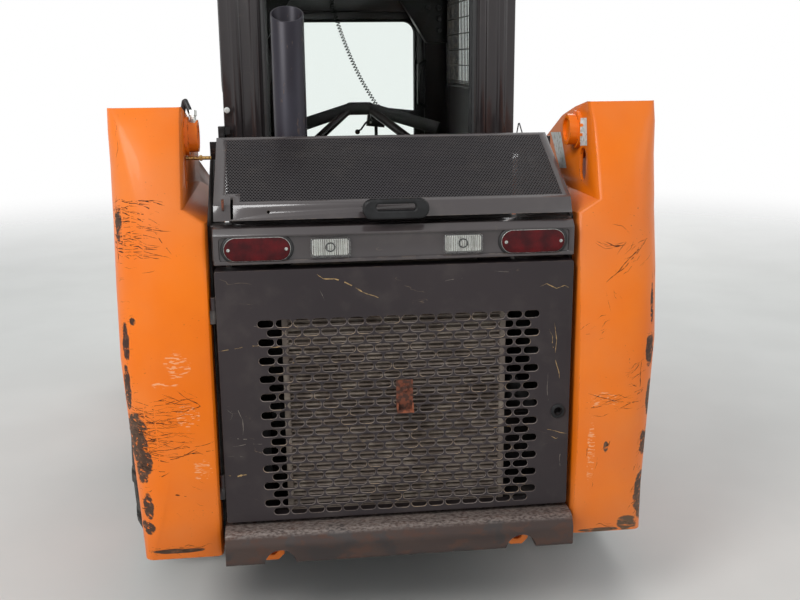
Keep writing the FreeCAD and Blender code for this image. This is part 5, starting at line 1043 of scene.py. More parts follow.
# %% [markdown]
# ## The cab
#
# The cab is a welded shell, so its pieces keep their CAD shape and take a welder's radius. Rubber seals
# run round every pane. The side windows have wire screens inside them, because a loader's arms pass close
# by.

# %% Cab shell and seals
for node, width_mm in (("cab_rear_wall", 5), ("cab_sides", 4), ("cab_front_frame", 4), ("cab_roof", 14)):
    rounded_piece(node, width_mm, cab_enamel)
rounded_piece("front_door", 4, cab_enamel, "front_door")


def seal_ring(half_u, half_v, corner, middle, level, radius, across="y"):
    """Closed rubber section round a window that faces along y or x."""
    points = rounded_outline(half_u, half_v, corner, 10, middle)
    path = [(u, level, v) if across == "y" else (level, u, v) for u, v in points]
    return swept(path, radius, closed=True)


rear_seals = [seal_ring(325, 288, 73, (0, 1575), 680, 9), seal_ring(320, 283, 68, (0, 1575), 700, 7)]
side_seal = seal_ring(468, 193, 45, (1255, 1690), 457, 7, "x")
piece("window_seals", joined([*rear_seals, both_sides(side_seal)]), seal_rubber.material)
door_seals = [seal_ring(299, 494.5, 52, (0, 1259.5), level, 6) for level in (1853, 1880)]
piece("door_glass_seals", joined(door_seals), seal_rubber.material, "front_door")

WIRE_RADIUS = 2.2
UPRIGHTS, UPRIGHT_PITCH, FIRST_Y = 30, 31.2, 803
CROSSWIRES, CROSSWIRE_PITCH, LOWEST_Z = 7, 59, 1512
wires = []
for k in range(UPRIGHTS):
    y = FIRST_Y + UPRIGHT_PITCH * k
    wires.append(swept([(421, y, 1497), (421, y, 1883)], WIRE_RADIUS, fineness=1))
for k in range(CROSSWIRES):
    z = LOWEST_Z + CROSSWIRE_PITCH * k
    wires.append(swept([(417, 792, z), (417, 1718, z)], WIRE_RADIUS, fineness=1))
screen_frame = [(419, y, z) for y, z in rounded_outline(474, 200, 40, 6, (1255, 1690))]
wires.append(swept(screen_frame, 5, closed=True))
piece("side_screens", both_sides(joined(wires)), frame_enamel)

outer_path = bent([(330, 1880, 1120), (330, 1918, 1120), (330, 1918, 1300), (330, 1880, 1300)], 20)
inner_path = bent([(330, 1853, 1150), (330, 1822, 1150), (330, 1822, 1270), (330, 1853, 1270)], 14)
lock = block(316, 344, 1879, 1889, 1060, 1100, 3)
handles = joined([swept(outer_path, 8), swept(inner_path, 7), lock])
piece("door_handles", handles, moulded_abs.material, "front_door")
grab_path = bent([(339, 1822, 1396), (292, 1792, 1396), (292, 1792, 1586), (339, 1822, 1586)], 18)
piece("cab_grab_bar", swept(grab_path, 8), wiper_black.material)
for name, body in (("cab_windows", "chassis"), ("front_door_glass", "front_door")):
    piece(name + "_polished", cad_mesh(name), window_glass.material, body, (name,), 20)
print("cab shell, seals and", len(wires) * 2, "screen wires")

# %% Wiper motor, arm and lever
rounded_piece("wiper_motor", 3, wiper_black.material, "front_door")
rounded_piece("wiper_arm", 1.5, wiper_black.material, "wiper_arm")
silver = [turned([(0, 12), (0, 17), (3, 17), (5, 15), (5, 10), (2, 10), (2, 0)],
                 (130, 1776, 1362), REARWARD, 32),
          turned([(0, 0), (0, 9), (6, 9), (7, 7.5), (7, 0)], (165, 1790, 1336), REARWARD, 6),
          turned([(0, 0), (0, 5), (5, 5), (5.5, 4), (5.5, 0)], (98, 1790, 1336), REARWARD, 6)]
piece("wiper_nuts", joined(silver), zinc.material, "front_door", smooth_deg=25)
stalk = swept(bent([(100, 1796, 1350), (70, 1790, 1346), (44, 1788, 1312), (42, 1788, 1300)], 14), 4)
BALL_RADIUS, BALL_STEPS = 11, 10
ball_profile = [(0, 0)]
for k in range(1, BALL_STEPS):
    turn = math.pi * k / BALL_STEPS
    ball_profile.append((BALL_RADIUS - BALL_RADIUS * math.cos(turn), BALL_RADIUS * math.sin(turn)))
ball_profile.append((2 * BALL_RADIUS, 0))
ball = turned(ball_profile, (41, 1788, 1308), -UPWARD, 24)
piece("wiper_hand_lever", joined([stalk, ball]), wiper_black.material, "front_door")
print("wiper")

# %% [markdown]
# ## The seat
#
# A cushion gets its shape from cloth, not from a modeller. We remesh a plain block into an even 6 mm skin
# and blow it up as cloth with pressure and no gravity. Three channels stay where they are, as the
# stitching holds them down, and no point may move further than a foam cushion would let it.

# %% Seat cushions
VOXEL_MM = 6.0
PUFF_PRESSURE = 4.0
CLOTH_QUALITY = 5
LAST_FRAME = 20
MOST_MOVE_MM = 14.0
STITCH_HALF_MM = 5
CUSHION_EDGE_MM = 18
Y_AXIS, Z_AXIS = 1, 2


def bake(holder):
    """Makes an object's modifiers part of its mesh."""
    mesh = evaluated(holder)
    holder.modifiers.clear()
    holder.data = mesh


def puff(soft, channels, across):
    """Blows a cushion's skin up as cloth that is held down along its channels."""
    start = [vertex.co.copy() for vertex in soft.data.vertices]
    held = soft.vertex_groups.new(name="stitching")
    for vertex in soft.data.vertices:
        along = TO_MACHINE @ vertex.co
        if any(abs(along[across] - place) < STITCH_HALF_MM for place in channels):
            held.add([vertex.index], 1.0, "REPLACE")
    cloth = add_modifier(soft, "CLOTH")
    cloth.settings.use_pressure = True
    cloth.settings.uniform_pressure_force = PUFF_PRESSURE
    cloth.settings.effector_weights.gravity = 0.0
    cloth.settings.vertex_group_mass = "stitching"
    cloth.settings.quality = CLOTH_QUALITY
    cloth.point_cache.frame_start, cloth.point_cache.frame_end = 1, LAST_FRAME
    for number in range(1, LAST_FRAME + 1):
        bpy.context.scene.frame_set(number)
    bake(soft)
    bpy.context.scene.frame_set(1)
    for vertex, rest in zip(soft.data.vertices, start):
        move = vertex.co - rest
        if move.length > MOST_MOVE_MM * MM:
            vertex.co = rest + move.normalized() * MOST_MOVE_MM * MM
    add_modifier(soft, "SUBSURF", levels=1, render_levels=1)
    bake(soft)


def cushion(name, x_half, y0, y1, z0, z1, channels, across):
    """Stuffed cushion; channels are the places along axis number across where stitching holds the cover."""
    mesh = block(-x_half, x_half, y0, y1, z0, z1, CUSHION_EDGE_MM)
    mesh.transform(TO_WORLD)
    soft = bpy.data.objects.new(name, mesh)
    bpy.context.scene.collection.objects.link(soft)
    add_modifier(soft, "REMESH", mode="VOXEL", voxel_size=VOXEL_MM * MM)
    bake(soft)
    puff(soft, channels, across)
    soft.data.materials.clear()
    soft.data.materials.append(seat_vinyl.material)
    soft.data.shade_smooth()
    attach(soft, "chassis")
    return soft


bottom_cushion = cushion("seat_bottom_cushion", 222, 812, 1268, 836, 908, (930, 1040, 1150), Y_AXIS)
back_cushion = cushion("seat_back_cushion", 222, 808, 878, 934, 1312, (1030, 1120, 1210), Z_AXIS)
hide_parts("seat_cushions")
rounded_piece("seat_base", 5, frame_enamel)
piping = [swept([(x, y, 840) for x, y in rounded_outline(224, 230, 26, 6, (0, 1040))], 4, closed=True),
          swept([(x, 812, z) for x, z in rounded_outline(224, 191, 26, 6, (0, 1123))], 4, closed=True)]
piece("seat_piping", joined(piping), seat_vinyl.material)
print("cushions of", [len(c.data.vertices) for c in (bottom_cushion, back_cushion)], "points")

# %% Restraint bar, levers and panels
PIVOT_X, PIVOT_Y, PIVOT_Z = 273, 905, 1240
ARM_LENGTH, ARM_RISE_DEG, BAR_BEND = 540, 38, 240
BAR_RADIUS, SLEEVE_RADIUS, SLEEVE_START = 15, 22.5, 0.35
angle = math.radians(ARM_RISE_DEG)
pivot = Vector((PIVOT_X, PIVOT_Y, PIVOT_Z))
corner = pivot + Vector((0, math.cos(angle), math.sin(angle))) * ARM_LENGTH
far_corner, far_pivot = Vector((-corner.x, corner.y, corner.z)), Vector((-pivot.x, pivot.y, pivot.z))
bar_path = bent([pivot, corner, far_corner, far_pivot], BAR_BEND, 16)
sleeve_ends = [pivot.lerp(corner, SLEEVE_START), far_pivot.lerp(far_corner, SLEEVE_START)]
sleeve = swept([sleeve_ends[0], *bar_path[1:-1], sleeve_ends[1]], SLEEVE_RADIUS, fineness=4)
steel_bar = [swept(bar_path, BAR_RADIUS, fineness=3)]
for side in (1, -1):
    steel_bar.append(turned([(0, 10.1), (0, 24), (1, 25), (34, 25), (35, 24), (35, 10.1)],
                            (side * 259, PIVOT_Y, PIVOT_Z), side * OUTWARD, 32))
piece("restraint_bar_steel", joined(steel_bar), cab_enamel, "restraint_bar", ("restraint_bar",))
piece("restraint_bar_sleeve", sleeve, foam_sleeve.material, "restraint_bar")

LEVER_X, LEVER_Y, FOLDS = 325, 1230, 6
pod = block(290, 360, 1130, 1270, 560, 900, 8)
folds = [(0, 0), (0, 34)]
for k in range(FOLDS):
    folds += [(6 + 13 * k, 33 - 3 * k), (12 + 13 * k, 26 - 2.4 * k)]
gaiter = turned([*folds, (86, 11.5), (86, 0)], (LEVER_X, LEVER_Y, 899), UPWARD, 32)
stem = turned_bar(9, (LEVER_X, LEVER_Y, 980), (LEVER_X, LEVER_Y, 1060), 24)
knob_profile = [(0, 0), (0, 13), (4, 17), (20, 20), (34, 17), (50, 20), (64, 17), (80, 20), (96, 19),
                (108, 22), (118, 17), (120, 10), (120, 0)]
grip = turned(knob_profile, (LEVER_X, LEVER_Y, 1050), UPWARD, 32)
thumb_switch = block(316, 334, 1204, 1214, 1140, 1154, 2)
levers = both_sides(joined([pod, gaiter, stem, grip, thumb_switch]))
piece("levers_and_pods", levers, moulded_abs.material, nodes=("control_levers",))

PANEL_Y = 1760
rounded_piece("instrument_panels", 6, moulded_abs.material)
controls = []
for x, z in ((300, 1880), (372, 1880)):
    controls.append(turned([(0, 25), (0, 30), (4, 30), (6, 28), (6, 25), (3, 24), (3, 0)],
                           (x, PANEL_Y, z), REARWARD, 40))
for x, z in ((386, 1800), (386, 1755), (386, 1710), (340, 1800)):
    controls.append(turned([(0, 0), (0, 11), (12, 9.5), (14, 8), (14, 0)], (x, PANEL_Y, z), REARWARD, 20))
piece("panel_dials_and_knobs", both_sides(joined(controls)), wiper_black.material)
print("restraint bar, levers, panels")

# %% [markdown]
# ## Wheels
#
# All four wheels are alike. A tyre is a turned casing with 14 slanted lugs a side, and every lug runs
# from the middle of the tread over the shoulder, wider at its root than at its top, as it must be to
# leave the mould.

# %% Tyres and wheels
WHEEL_X, WHEEL_Z = 640, 390
AXLES = {"front": 1860, "rear": 760}
TYRE_HALF = 132
LUGS_PER_SIDE = 14
NUTS, NUT_CIRCLE, HUB_X, VALVE_Y = 8, 69, 22, 176
LUG_TURN_RADIUS = 390
LUG_STATIONS = (
    # across the tread, top and root radius, how far round the lug has slanted, half width at the top
    (-10, 386, 352, -31, 15), (24, 388.5, 354, -17, 16), (66, 389, 355, 0, 17), (98, 387, 350, 15, 17),
    (116, 379, 340, 24, 17), (128, 360, 326, 30, 16), (131.5, 334, 318, 33, 13),
)
HALF_SECTION = (
    # across, radius: from the bead over the sidewall to the middle of the tread
    (104, 212), (106, 222), (113, 230), (114, 238), (122, 246), (128, 262), (129, 268), (131, 272),
    (131, 300), (130, 322), (127, 342), (118, 358), (100, 367), (60, 370), (0, 371),
)
section = [(TYRE_HALF - across, radius) for across, radius in HALF_SECTION]
section += [(TYRE_HALF + across, radius) for across, radius in HALF_SECTION[-2::-1]]


def tyre_mesh():
    """Right-hand tyre about the x axis through the origin."""
    parts = [turned(section, (-TYRE_HALF, 0, 0), OUTWARD, 112)]
    for side in (1, -1):
        for index in range(LUGS_PER_SIDE):
            start = 2 * math.pi * (index + side / 4) / LUGS_PER_SIDE
            shape = bmesh.new()
            rings = []
            for across, top, root, slant, half in LUG_STATIONS:
                ring = []
                for radius, wide in ((root, half + 7), (top - 2.5, half + 1.2), (top, half - 1.5),
                                     (top, -half + 1.5), (top - 2.5, -half - 1.2), (root, -half - 7)):
                    turn = start + (slant + wide) / LUG_TURN_RADIUS
                    y, z = radius * math.sin(turn), radius * math.cos(turn)
                    ring.append(shape.verts.new((side * across, y, z)))
                rings.append(ring)
            for near, far in zip(rings, rings[1:]):
                for k in range(6):
                    shape.faces.new((near[k], near[(k + 1) % 6], far[(k + 1) % 6], far[k]))
            shape.faces.new(rings[0])
            shape.faces.new(rings[-1])
            parts.append(built(shape))
    return joined(parts)


def wheel_nuts():
    """Eight nuts on studs round the hub, and the valve."""
    parts = []
    for k in range(NUTS):
        turn = 2 * math.pi * k / NUTS
        parts.append(turned([(0, 0), (0, 9.5), (9, 9.5), (11, 8), (11, 4.5), (17, 4.5), (18, 3.6), (18, 0)],
                            (HUB_X, NUT_CIRCLE * math.sin(turn), NUT_CIRCLE * math.cos(turn)), OUTWARD, 6))
    parts.append(turned([(0, 0), (0, 4), (26, 4), (26, 0)], (HUB_X, VALVE_Y, 0), OUTWARD, 12))
    return joined(parts)


one_tyre, one_set_of_nuts = tyre_mesh(), wheel_nuts()
for axle, y in AXLES.items():
    for side in ("right", "left"):
        wheel = "wheel_%s_%s" % (axle, side)
        for kind, mesh, finish in (("tyre", one_tyre, tyre_rubber), ("nuts", one_set_of_nuts, zinc)):
            placed = mesh.copy()
            placed.transform(Matrix.Translation((WHEEL_X, y, WHEEL_Z)))
            if side == "left":
                image = mirrored(placed)
                bpy.data.meshes.remove(placed)
                placed = image
            node = "%s_%s_%s" % (kind, axle, side)
            name, nodes = (node + "_moulded", (node,)) if kind == "tyre" else (node, ())
            piece(name, placed, finish.material, wheel, nodes, 28)
        rounded_piece("rim_%s_%s" % (axle, side), 2, rim_orange, wheel)
print("four tyres with", 2 * LUGS_PER_SIDE, "lugs each")

# %% [markdown]
# ## Loader linkage
#
# Arms, coupler and bucket are welded plate and take a plate's radius. The hydraulic cylinders are turned:
# an orange barrel with a gland nut and two ports, and a chromed rod that slides out of it.

# %% Arms, coupler and bucket
rounded_piece("lift_arms", 5, plain_orange, "lift_arms")
rounded_piece("coupler", 3, plain_orange, "bucket_and_coupler")
rounded_piece("bucket", 3, bucket_steel, "bucket_and_coupler")
rounded_piece("cutting_edge", 2.5, edge_steel, "bucket_and_coupler")
rounded_piece("chassis_frame", 2, frame_enamel)
rounded_piece("axle_stubs", 1, zinc.material)
print("arms, coupler, bucket and frame")

# %% Hydraulic cylinders


def cylinder(x, base, pin, barrel_radius, barrel_length, rod_radius, rod_length, eye, base_bore, pin_radius):
    """Barrel and rod meshes of one cylinder between two pins, each (y, z); eye is (radius, width)."""
    start, end = Vector((x, *base)), Vector((x, *pin))
    along = (end - start).normalized()
    eye_radius, eye_width = eye
    barrel = lathe([(eye_radius * 0.6, 0), (eye_radius * 0.6, barrel_radius - 4),
                    (eye_radius * 0.8, barrel_radius),
                    (barrel_length - 34, barrel_radius), (barrel_length - 33, barrel_radius - 3),
                    (barrel_length - 31, barrel_radius - 3), (barrel_length - 30, barrel_radius),
                    (barrel_length - 2, barrel_radius), (barrel_length, barrel_radius - 2),
                    (barrel_length, rod_radius + 4), (barrel_length - 4, rod_radius + 3),
                    (barrel_length - 4, rod_radius + 0.2)], start, end, 40)
    half = eye_width / 2
    eyes = []
    for place, bore in ((start, base_bore), (end, 0)):
        profile = [(0, bore), (0, eye_radius - 2), (2, eye_radius), (eye_width - 2, eye_radius),
                   (eye_width, eye_radius - 2), (eye_width, bore)]
        eyes.append(turned(profile, place - OUTWARD * half, OUTWARD, 40))
    off = OUTWARD.cross(along)
    off = -off if off.z < 0 else off
    ports = []
    for distance in (eye_radius * 1.6, barrel_length - 70):
        foot = start + along * distance + off * (barrel_radius - 4)
        ports.append(turned([(0, 14), (9, 14), (10, 11), (10, 0)], foot, off, 24))
        ports.append(turned([(9, 10.5), (20, 10.5), (21, 8), (21, 0)], foot, off, 6))
    rod = lathe([(0, 0), (0, rod_radius - 1), (1, rod_radius), (rod_length - eye_radius * 0.5, rod_radius)],
                end - along * rod_length, end, 32)
    pin_bar = turned_bar(pin_radius, end - OUTWARD * (half + 1), end + OUTWARD * (half + 1), 32, 0.6)
    return joined([barrel, eyes[0], *ports]), joined([rod, eyes[1], pin_bar])


CYLINDERS = (
    # name, x, base (y, z), pin (y, z), radius and length of barrel and rod, eye, base bore, pin radius
    ("lift", 627, (190, 640), (1000, 1150), 45, 770, 22, 700, (42, 50), 25.1, 22),
    ("tilt", 472, (2080, 950), (2544, 388), 40, 560, 18, 520, (36, 44), 20.1, 20),
)
for name, *sizes in CYLINDERS:
    barrel, rod = cylinder(*sizes)
    barrels, rods = name + "_barrels", name + "_rods"
    piece(barrels + "_turned", both_sides(barrel), cylinder_orange, barrels, (barrels,))
    piece(rods + "_turned", both_sides(rod), chrome.material, rods, (rods,))
print("cylinders")

# %% [markdown]
# ## Small fittings
#
# A few things are screwed to the body near the cab: a hose that bends over the left tower into a steel
# fitting, a brass rod beside the hood, a bracket and a wire loop.

# %% Fittings
hose_path = bent([(-552.5, 262, 1410), (-552.5, 262, 1508), (-512, 250, 1516), (-512, 232, 1452)], 20)
piece("tower_hose", swept(hose_path, 7, fineness=3), seal_rubber.material)
fitting = joined([lathe([(0, 7.5), (0, 11), (14, 11), (14, 9), (30, 9), (30, 12), (42, 12), (42, 0)],
                        (-512, 237, 1470), (-512, 232, 1452), 6),
                  block(-535, -506, 222, 238, 1420, 1432, 2)])
piece("tower_hose_fitting", fitting, zinc.material, smooth_deg=20)
rod = joined([turned_bar(5, (-534, 200, 1349), (-468, 200, 1349), 20, 0.8),
              turned([(0, 0), (0, 8), (7, 8), (7, 0)], (-498, 200, 1349), OUTWARD, 6)])
piece("brass_grease_rod", rod, brass.material, smooth_deg=25)
bracket = joined([block(-474, -456, 655, 690, 1360, 1400, 2), block(-470, -438, 662, 668, 1376, 1398, 1.5)])
piece("cab_post_bracket", bracket, wiper_black.material)
plug = joined([turned([(0, 0), (0, 9), (5, 9), (7, 6), (7, 0)], (-445, 672, 1449), REARWARD, 20),
               turned([(0, 0), (0, 5), (9, 5), (9, 0)], (-445, 679, 1449), REARWARD, 12)])
piece("cab_post_plug", plug, blank_label.material)
loop_path = bent([(470, 700, 1352), (470, 700, 1396), (482, 690, 1404), (486, 680, 1358)], 8)
piece("cab_wire_loop", swept(loop_path, 2, fineness=1), seal_rubber.material)
print("fittings")

# %% [markdown]
# ## Scratches
#
# A scratch is a long thin place where a sharp thing has lifted the paint. Each one here is a strip a
# millimetre or two wide that follows a wandering line and lies on the surface behind it: we send a ray
# forward from every point of the line and keep the strip a tenth of a millimetre off whatever it meets.
# On the door the scratches are ochre where primer shows; on the towers they are dark where steel has
# rusted. Two blank stickers on the right tower are laid on in the same way, along rays from the camera's
# eye.

# %% Scratch makers
STRIP_STEP_MM = 5.0
STRIP_LIFT_MM = 0.12
STRIP_JUMP_MM = 12
HALF_WIDTH = 0.36
TAPER_STEPS = 4
WORN_THROUGH = -0.32
BEHIND_Y = -300
LABEL_STEPS = 6
LABEL_LIFT_MM = 0.5
LABEL_PLANE_Y = 110
FAN_SPREAD_DEG = 13
FAN_BOW = 0.35


def wander(place, size_mm, amount, seed):
    """A smooth pseudo-random number that changes with place over size_mm."""
    return amount * noise.noise(Vector((place[0] / size_mm, seed * 7.31, place[1] / size_mm)))


def skin_of(target):
    """The surface of a finished piece in machine millimetres, ready for rays."""
    return BVHTree.FromPolygons([TO_MACHINE @ v.co for v in target.data.vertices],
                                [p.vertices[:] for p in target.data.polygons])


def stations_of(line):
    """Places along a line of (x, z) corners, about STRIP_STEP_MM apart."""
    points = [Vector(place) for place in line]
    stations = []
    for near, far in zip(points, points[1:]):
        count = max(1, int((far - near).length / STRIP_STEP_MM))
        stations += [near.lerp(far, k / count) for k in range(count)]
    return [*stations, points[-1]]


def strips(name, lines, target, material, body):
    """Thin strips on a surface that faces the rear; each line is (width, (x, z), (x, z), ...)."""
    surface = skin_of(target)
    shape = bmesh.new()
    for seed, (width, *line) in enumerate(lines):
        stations = stations_of(line)
        before = None
        for k, place in enumerate(stations):
            ahead = stations[min(k + 1, len(stations) - 1)] - stations[max(k - 1, 0)]
            across = Vector((-ahead.y, ahead.x)).normalized()
            middle = place + across * wander(place, 40, 5, seed)
            taper = min(1.0, (k + 0.3) / TAPER_STEPS, (len(stations) - k - 0.7) / TAPER_STEPS)
            half = width * HALF_WIDTH * taper * max(0.25, 1 + wander(place, 9, 1.6, seed + 50))
            pair = []
            for spot in (middle + across * half, middle - across * half):
                hit = surface.ray_cast(Vector((spot.x, BEHIND_Y, spot.y)), -REARWARD)[0]
                if hit is not None:
                    pair.append(hit + REARWARD * STRIP_LIFT_MM)
            whole = len(pair) == 2 and wander(place, 14, 1.0, seed + 90) > WORN_THROUGH
            if not whole or abs(pair[0].y - pair[1].y) > STRIP_JUMP_MM:
                before = None
                continue
            pair = [shape.verts.new(corner) for corner in pair]
            if before and (before[0].co - pair[0].co).length < 4 * STRIP_STEP_MM:
                shape.faces.new((before[0], before[1], pair[1], pair[0]))
            before = pair
    return piece(name, finished(shape), material, body)


def labels(name, corners, target):
    """Blank stickers on a surface, each given as its four corners seen through the plane LABEL_PLANE_Y."""
    surface = skin_of(target)
    eye = TO_MACHINE @ EYE
    shape = bmesh.new()
    for corner_list in corners:
        upper_left, upper_right, lower_right, lower_left = [Vector(corner) for corner in corner_list]
        rows = []
        for k in range(LABEL_STEPS + 1):
            down = k / LABEL_STEPS
            left_end, right_end = upper_left.lerp(lower_left, down), upper_right.lerp(lower_right, down)
            row = []
            for j in range(LABEL_STEPS + 1):
                spot = left_end.lerp(right_end, j / LABEL_STEPS)
                sight = (Vector((spot.x, LABEL_PLANE_Y, spot.y)) - eye).normalized()
                hit, facing = surface.ray_cast(eye, sight)[:2]
                row.append(hit and shape.verts.new(hit + facing * LABEL_LIFT_MM))
            rows.append(row)
        for upper, lower in zip(rows, rows[1:]):
            for j in range(LABEL_STEPS):
                four = (upper[j], upper[j + 1], lower[j + 1], lower[j])
                if all(four):
                    shape.faces.new(four)
    return piece(name, finished(shape), blank_label.material)


def hairline_fans(places, seed):
    """Many short hairlines inside boxes; each row is (x, z, half x, half z, count, length, slope, width)."""
    chance = random.Random(seed)
    lines = []
    for x, z, half_x, half_z, count, length, slope, width in places:
        for _ in range(count):
            turn = math.radians(slope + chance.uniform(-FAN_SPREAD_DEG, FAN_SPREAD_DEG))
            reach = length * chance.uniform(0.3, 1.0) / 2
            middle = Vector((x + chance.uniform(-half_x, half_x), z + chance.uniform(-half_z, half_z)))
            arm = Vector((math.cos(turn), math.sin(turn))) * reach
            bow = Vector((-arm.y, arm.x)) * chance.uniform(-FAN_BOW, FAN_BOW)
            lines.append((width * chance.uniform(0.3, 0.9), middle - arm, middle + bow, middle + arm))
    return lines


old_rust = Finish("scraped steel, rusted", "#37200F", 0.7, "orange_paint", **{"Specular IOR Level": 0.2})
old_rust.stain(12, 0.55, 0.08, "#2C1D18", 0.8, detail=6)
ochre = Finish("ochre primer in a scratch", "#B08E5C", 0.6, "dark_panel_paint")
ochre.stain(14, 0.5, 0.12, "#7C6646", 0.7, detail=6)
pale_scrape = Finish("pale scrape in enamel", "#7D746B", 0.6, "dark_panel_paint")
pale_scrape.stain(16, 0.5, 0.12, "#5B534D", 0.6, detail=6)

# %% Scratches on the door
DOOR_SCRATCHES = (
    # width, then the places (x, z) that a scratch runs through
    (3.2, (-206, 1070), (-190, 1058), (-161, 1056), (-123, 1039), (-90, 1020), (-46, 999)),
    (2.4, (374, 1016), (392, 1024), (418, 1010), (440, 1016), (460, 1004)),
    (2.2, (417, 919), (424, 870), (421, 820), (435, 757)),
    (1.8, (-462, 876), (-380, 890), (-320, 882), (-262, 890)),
    (2.4, (-333, 835), (-300, 828), (-262, 842)), (7.0, (-452, 538), (-430, 531), (-405, 534)),
    (1.8, (384, 626), (430, 612), (462, 604)), (1.6, (210, 627), (260, 634), (306, 631)),
    (1.6, (404, 900), (412, 880), (408, 856), (418, 838)), (1.5, (-322, 790), (-306, 772), (-312, 752)),
    (1.6, (410, 600), (428, 590), (446, 596)), (1.6, (-120, 560), (-96, 548), (-70, 556)),
    (1.4, (60, 500), (84, 492), (108, 498)),
)
PALE_DOOR_SCRATCHES = (
    (1.6, (-441, 712), (-420, 716), (-408, 690), (-413, 647)),
    (1.4, (-452, 720), (-436, 706), (-440, 690)), (1.6, (-446, 640), (-380, 634)),
    (1.6, (-440, 620), (-360, 622)), (2.2, (-452, 588), (-410, 586)), (1.2, (-380, 940), (-350, 936)),
    (1.2, (-200, 1030), (-188, 1000)), (1.4, (120, 1040), (170, 1046)), (1.2, (250, 1064), (300, 1058)),
    (1.2, (400, 780), (404, 700)), (1.2, (444, 560), (440, 500)),
)
pan = bpy.data.objects["rear_door_pan"]
strips("door_scratches_ochre", DOOR_SCRATCHES, pan, ochre.material, "rear_door")
strips("door_scratches_pale", PALE_DOOR_SCRATCHES, pan, pale_scrape.material, "rear_door")
print(len(DOOR_SCRATCHES) + len(PALE_DOOR_SCRATCHES), "scratches on the door")

# %% Scratches on the towers
LEFT_FANS = (
    # x, z, half x, half z, count, length, slope in degrees, width
    (-650, 1190, 50, 70, 30, 120, -6, 2.4), (-685, 1180, 24, 80, 40, 60, 2, 3.2),
    (-672, 961, 4, 8, 4, 26, 80, 6.0), (-692, 1000, 10, 120, 16, 34, 20, 2.2),
    (-690, 850, 12, 90, 22, 36, 10, 2.6), (-620, 730, 70, 26, 34, 100, 2, 1.8),
    (-610, 660, 70, 46, 46, 120, -3, 1.6), (-660, 640, 40, 80, 60, 70, 3, 3.0),
    (-560, 745, 36, 30, 8, 60, -30, 2.0), (-672, 500, 20, 90, 22, 46, 20, 2.4),
    (-600, 334, 84, 12, 26, 60, -3, 2.2), (-690, 1380, 10, 90, 6, 60, 86, 1.4),
    (-560, 480, 40, 60, 6, 40, -40, 1.2),
)
LEFT_LINES = (
    (4.0, (-604, 514), (-590, 500), (-575, 494), (-562, 491)),
    (1.8, (-611, 598), (-547, 613), (-483, 618)),
    (2.2, (-569, 786), (-515, 742), (-552, 728), (-590, 733)),
    (2.2, (-700, 1262), (-650, 1256), (-590, 1232)), (2.4, (-706, 1236), (-650, 1222), (-604, 1196)),
    (1.6, (-610, 1190), (-580, 1150), (-566, 1128)), (1.4, (-640, 1084), (-606, 1092)),
    (1.6, (-700, 1270), (-706, 1180), (-700, 1100)),
)
RIGHT_FANS = (
    (580, 1124, 34, 6, 4, 70, -6, 2.0), (630, 1080, 50, 40, 10, 90, 40, 1.8),
    (694, 950, 6, 90, 16, 40, 84, 2.0), (520, 900, 34, 34, 10, 40, 30, 1.6),
    (632, 765, 28, 34, 12, 56, 20, 1.8), (684, 830, 16, 60, 18, 34, 60, 2.6),
    (590, 694, 76, 30, 22, 70, 10, 1.6), (690, 690, 12, 60, 16, 30, 70, 2.8),
    (560, 572, 8, 24, 6, 34, 60, 4.0), (680, 560, 22, 50, 18, 36, 40, 2.6),
    (674, 410, 26, 96, 34, 40, 60, 3.2), (590, 320, 56, 16, 14, 50, -14, 2.4),
    (560, 1010, 20, 60, 4, 60, -60, 1.2), (520, 480, 16, 90, 6, 50, 80, 1.4),
)
RIGHT_LINES = (
    (2.4, (545, 1127), (580, 1118), (612, 1120)), (2.2, (549, 1023), (601, 1067), (658, 1118)),
    (1.8, (575, 1041), (630, 1090), (684, 1144)), (1.4, (569, 1174), (596, 1168), (616, 1146)),
    (1.8, (607, 755), (655, 803), (653, 733), (607, 755)), (1.6, (506, 726), (580, 700), (662, 690)),
)
for side, fans, lines, seed in (("left", LEFT_FANS, LEFT_LINES, 3), ("right", RIGHT_FANS, RIGHT_LINES, 8)):
    tower = bpy.data.objects["tower_%s_dressed" % side]
    worn_lines = [*lines, *hairline_fans(fans, seed)]
    made = strips("tower_scratches_" + side, worn_lines, tower, old_rust.material, "chassis")
    print(side, "tower:", len(made.data.polygons), "faces of scratches")
RIGHT_LABELS = (((501, 1442), (518, 1443), (522, 1370), (502, 1370)),
                ((422, 1407), (449, 1407), (468, 1312), (449, 1312)))
stickers = labels("tower_right_blank_labels", RIGHT_LABELS, bpy.data.objects["tower_right_dressed"])
print("blank labels with", len(stickers.data.polygons), "faces")

# %% [markdown]
# ## The wiper's curly cord
#
# The door's wiper motor is fed by a curly cord that hangs from the roof, so that the door can open. Its
# route is the list of points that the CAD uses, as the control points of one smooth NURBS line. The coil
# itself is a helix round that line: the wire is 4 mm thick and its turns are 18 mm across, and they are
# pulled apart to about 13 mm each by the cord's own stretch.

# %% Cord
CAB_FRONT_Y = fore(1850)
WIPER_X = 0.130
CORD_ROUTE = [
    (-0.070, CAB_FRONT_Y - 0.088, 1.900),
    (-0.052, CAB_FRONT_Y - 0.084, 1.800),
    (-0.014, CAB_FRONT_Y - 0.074, 1.680),
    (0.034, CAB_FRONT_Y - 0.058, 1.565),
    (0.084, CAB_FRONT_Y - 0.050, 1.470),
    (WIPER_X, CAB_FRONT_Y - 0.052, 1.400),
]
WIRE_MM = 4.0
COIL_MM = 18.0
TURN_PITCH_MM = 13.0
STEPS_PER_TURN = 14
ROUTE_STEPS, COIL_STEPS = 24, 2


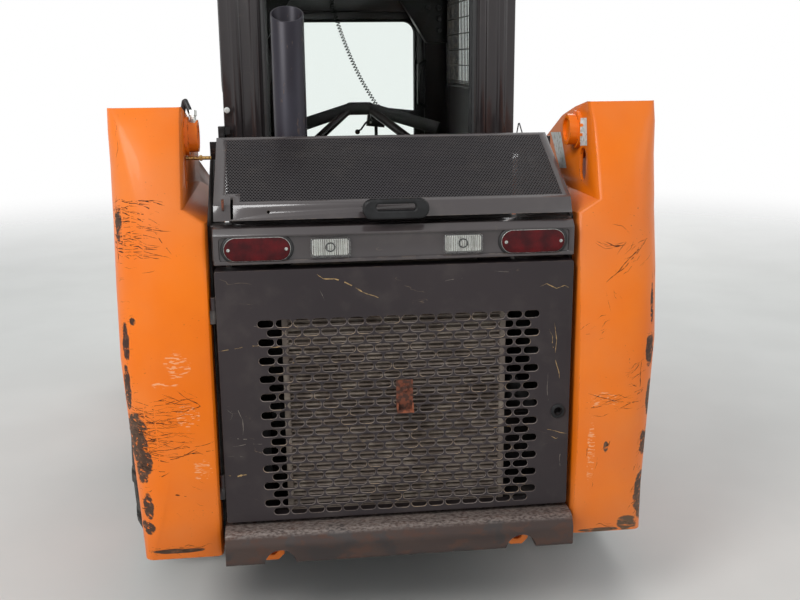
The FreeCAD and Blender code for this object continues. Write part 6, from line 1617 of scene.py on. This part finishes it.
def smooth_line(name, points):
    """NURBS curve of order 3 that starts and ends at its outer control points."""
    curve = bpy.data.curves.new(name, "CURVE")
    curve.dimensions = "3D"
    spline = curve.splines.new("NURBS")
    spline.points.add(len(points) - 1)
    for control, place in zip(spline.points, points):
        control.co = (*place, 1.0)
    spline.order_u = 3
    spline.use_endpoint_u = True
    spline.resolution_u = ROUTE_STEPS
    made = bpy.data.objects.new(name, curve)
    bpy.context.scene.collection.objects.link(made)
    return made


def points_on(line):
    """The points that a curve without bevel is drawn through."""
    mesh = bpy.data.meshes.new_from_object(line)
    places = [vertex.co.copy() for vertex in mesh.vertices]
    bpy.data.meshes.remove(mesh)
    return places


def helix_points(path, radius, pitch, steps):
    """Points of a helix that winds round a path, thinning to the path at both ends."""
    total = sum((b - a).length for a, b in zip(path, path[1:]))
    count = int(total / pitch * steps)
    points, index, walked = [], 0, 0.0
    side = (path[1] - path[0]).orthogonal().normalized()
    for step in range(count + 1):
        wanted = total * step / count
        while index < len(path) - 2 and walked + (path[index + 1] - path[index]).length < wanted:
            walked += (path[index + 1] - path[index]).length
            index += 1
        run = (path[index + 1] - path[index]).normalized()
        centre = path[index] + run * (wanted - walked)
        side = (side - run * side.dot(run)).normalized()
        other = run.cross(side)
        turn = 2 * math.pi * step / steps
        reach = radius * min(1.0, min(step, count - step) / steps)
        points.append(centre + (side * math.cos(turn) + other * math.sin(turn)) * reach)
    return points


route_line = smooth_line("cord_route", CORD_ROUTE)
coil_radius = (COIL_MM - WIRE_MM) / 2 * MM
coil_points = helix_points(points_on(route_line), coil_radius, TURN_PITCH_MM * MM, STEPS_PER_TURN)
bpy.data.objects.remove(route_line)
curly_cord = smooth_line("curly_cord", [tuple(point) for point in coil_points])
curly_cord.data.bevel_depth = WIRE_MM / 2 * MM
curly_cord.data.bevel_resolution = 2
curly_cord.data.splines[0].resolution_u = COIL_STEPS

pvc = Finish("black flexible PVC, extruded", "#0A0A0B", 0.5, "cord_black",
             **{"Specular IOR Level": 0.1})
pvc.stain(9, 0.6, 0.1, "#1B1A19", 0.6)
curly_cord.data.materials.append(pvc.material)
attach(curly_cord, "chassis")
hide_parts("wiper_cord")
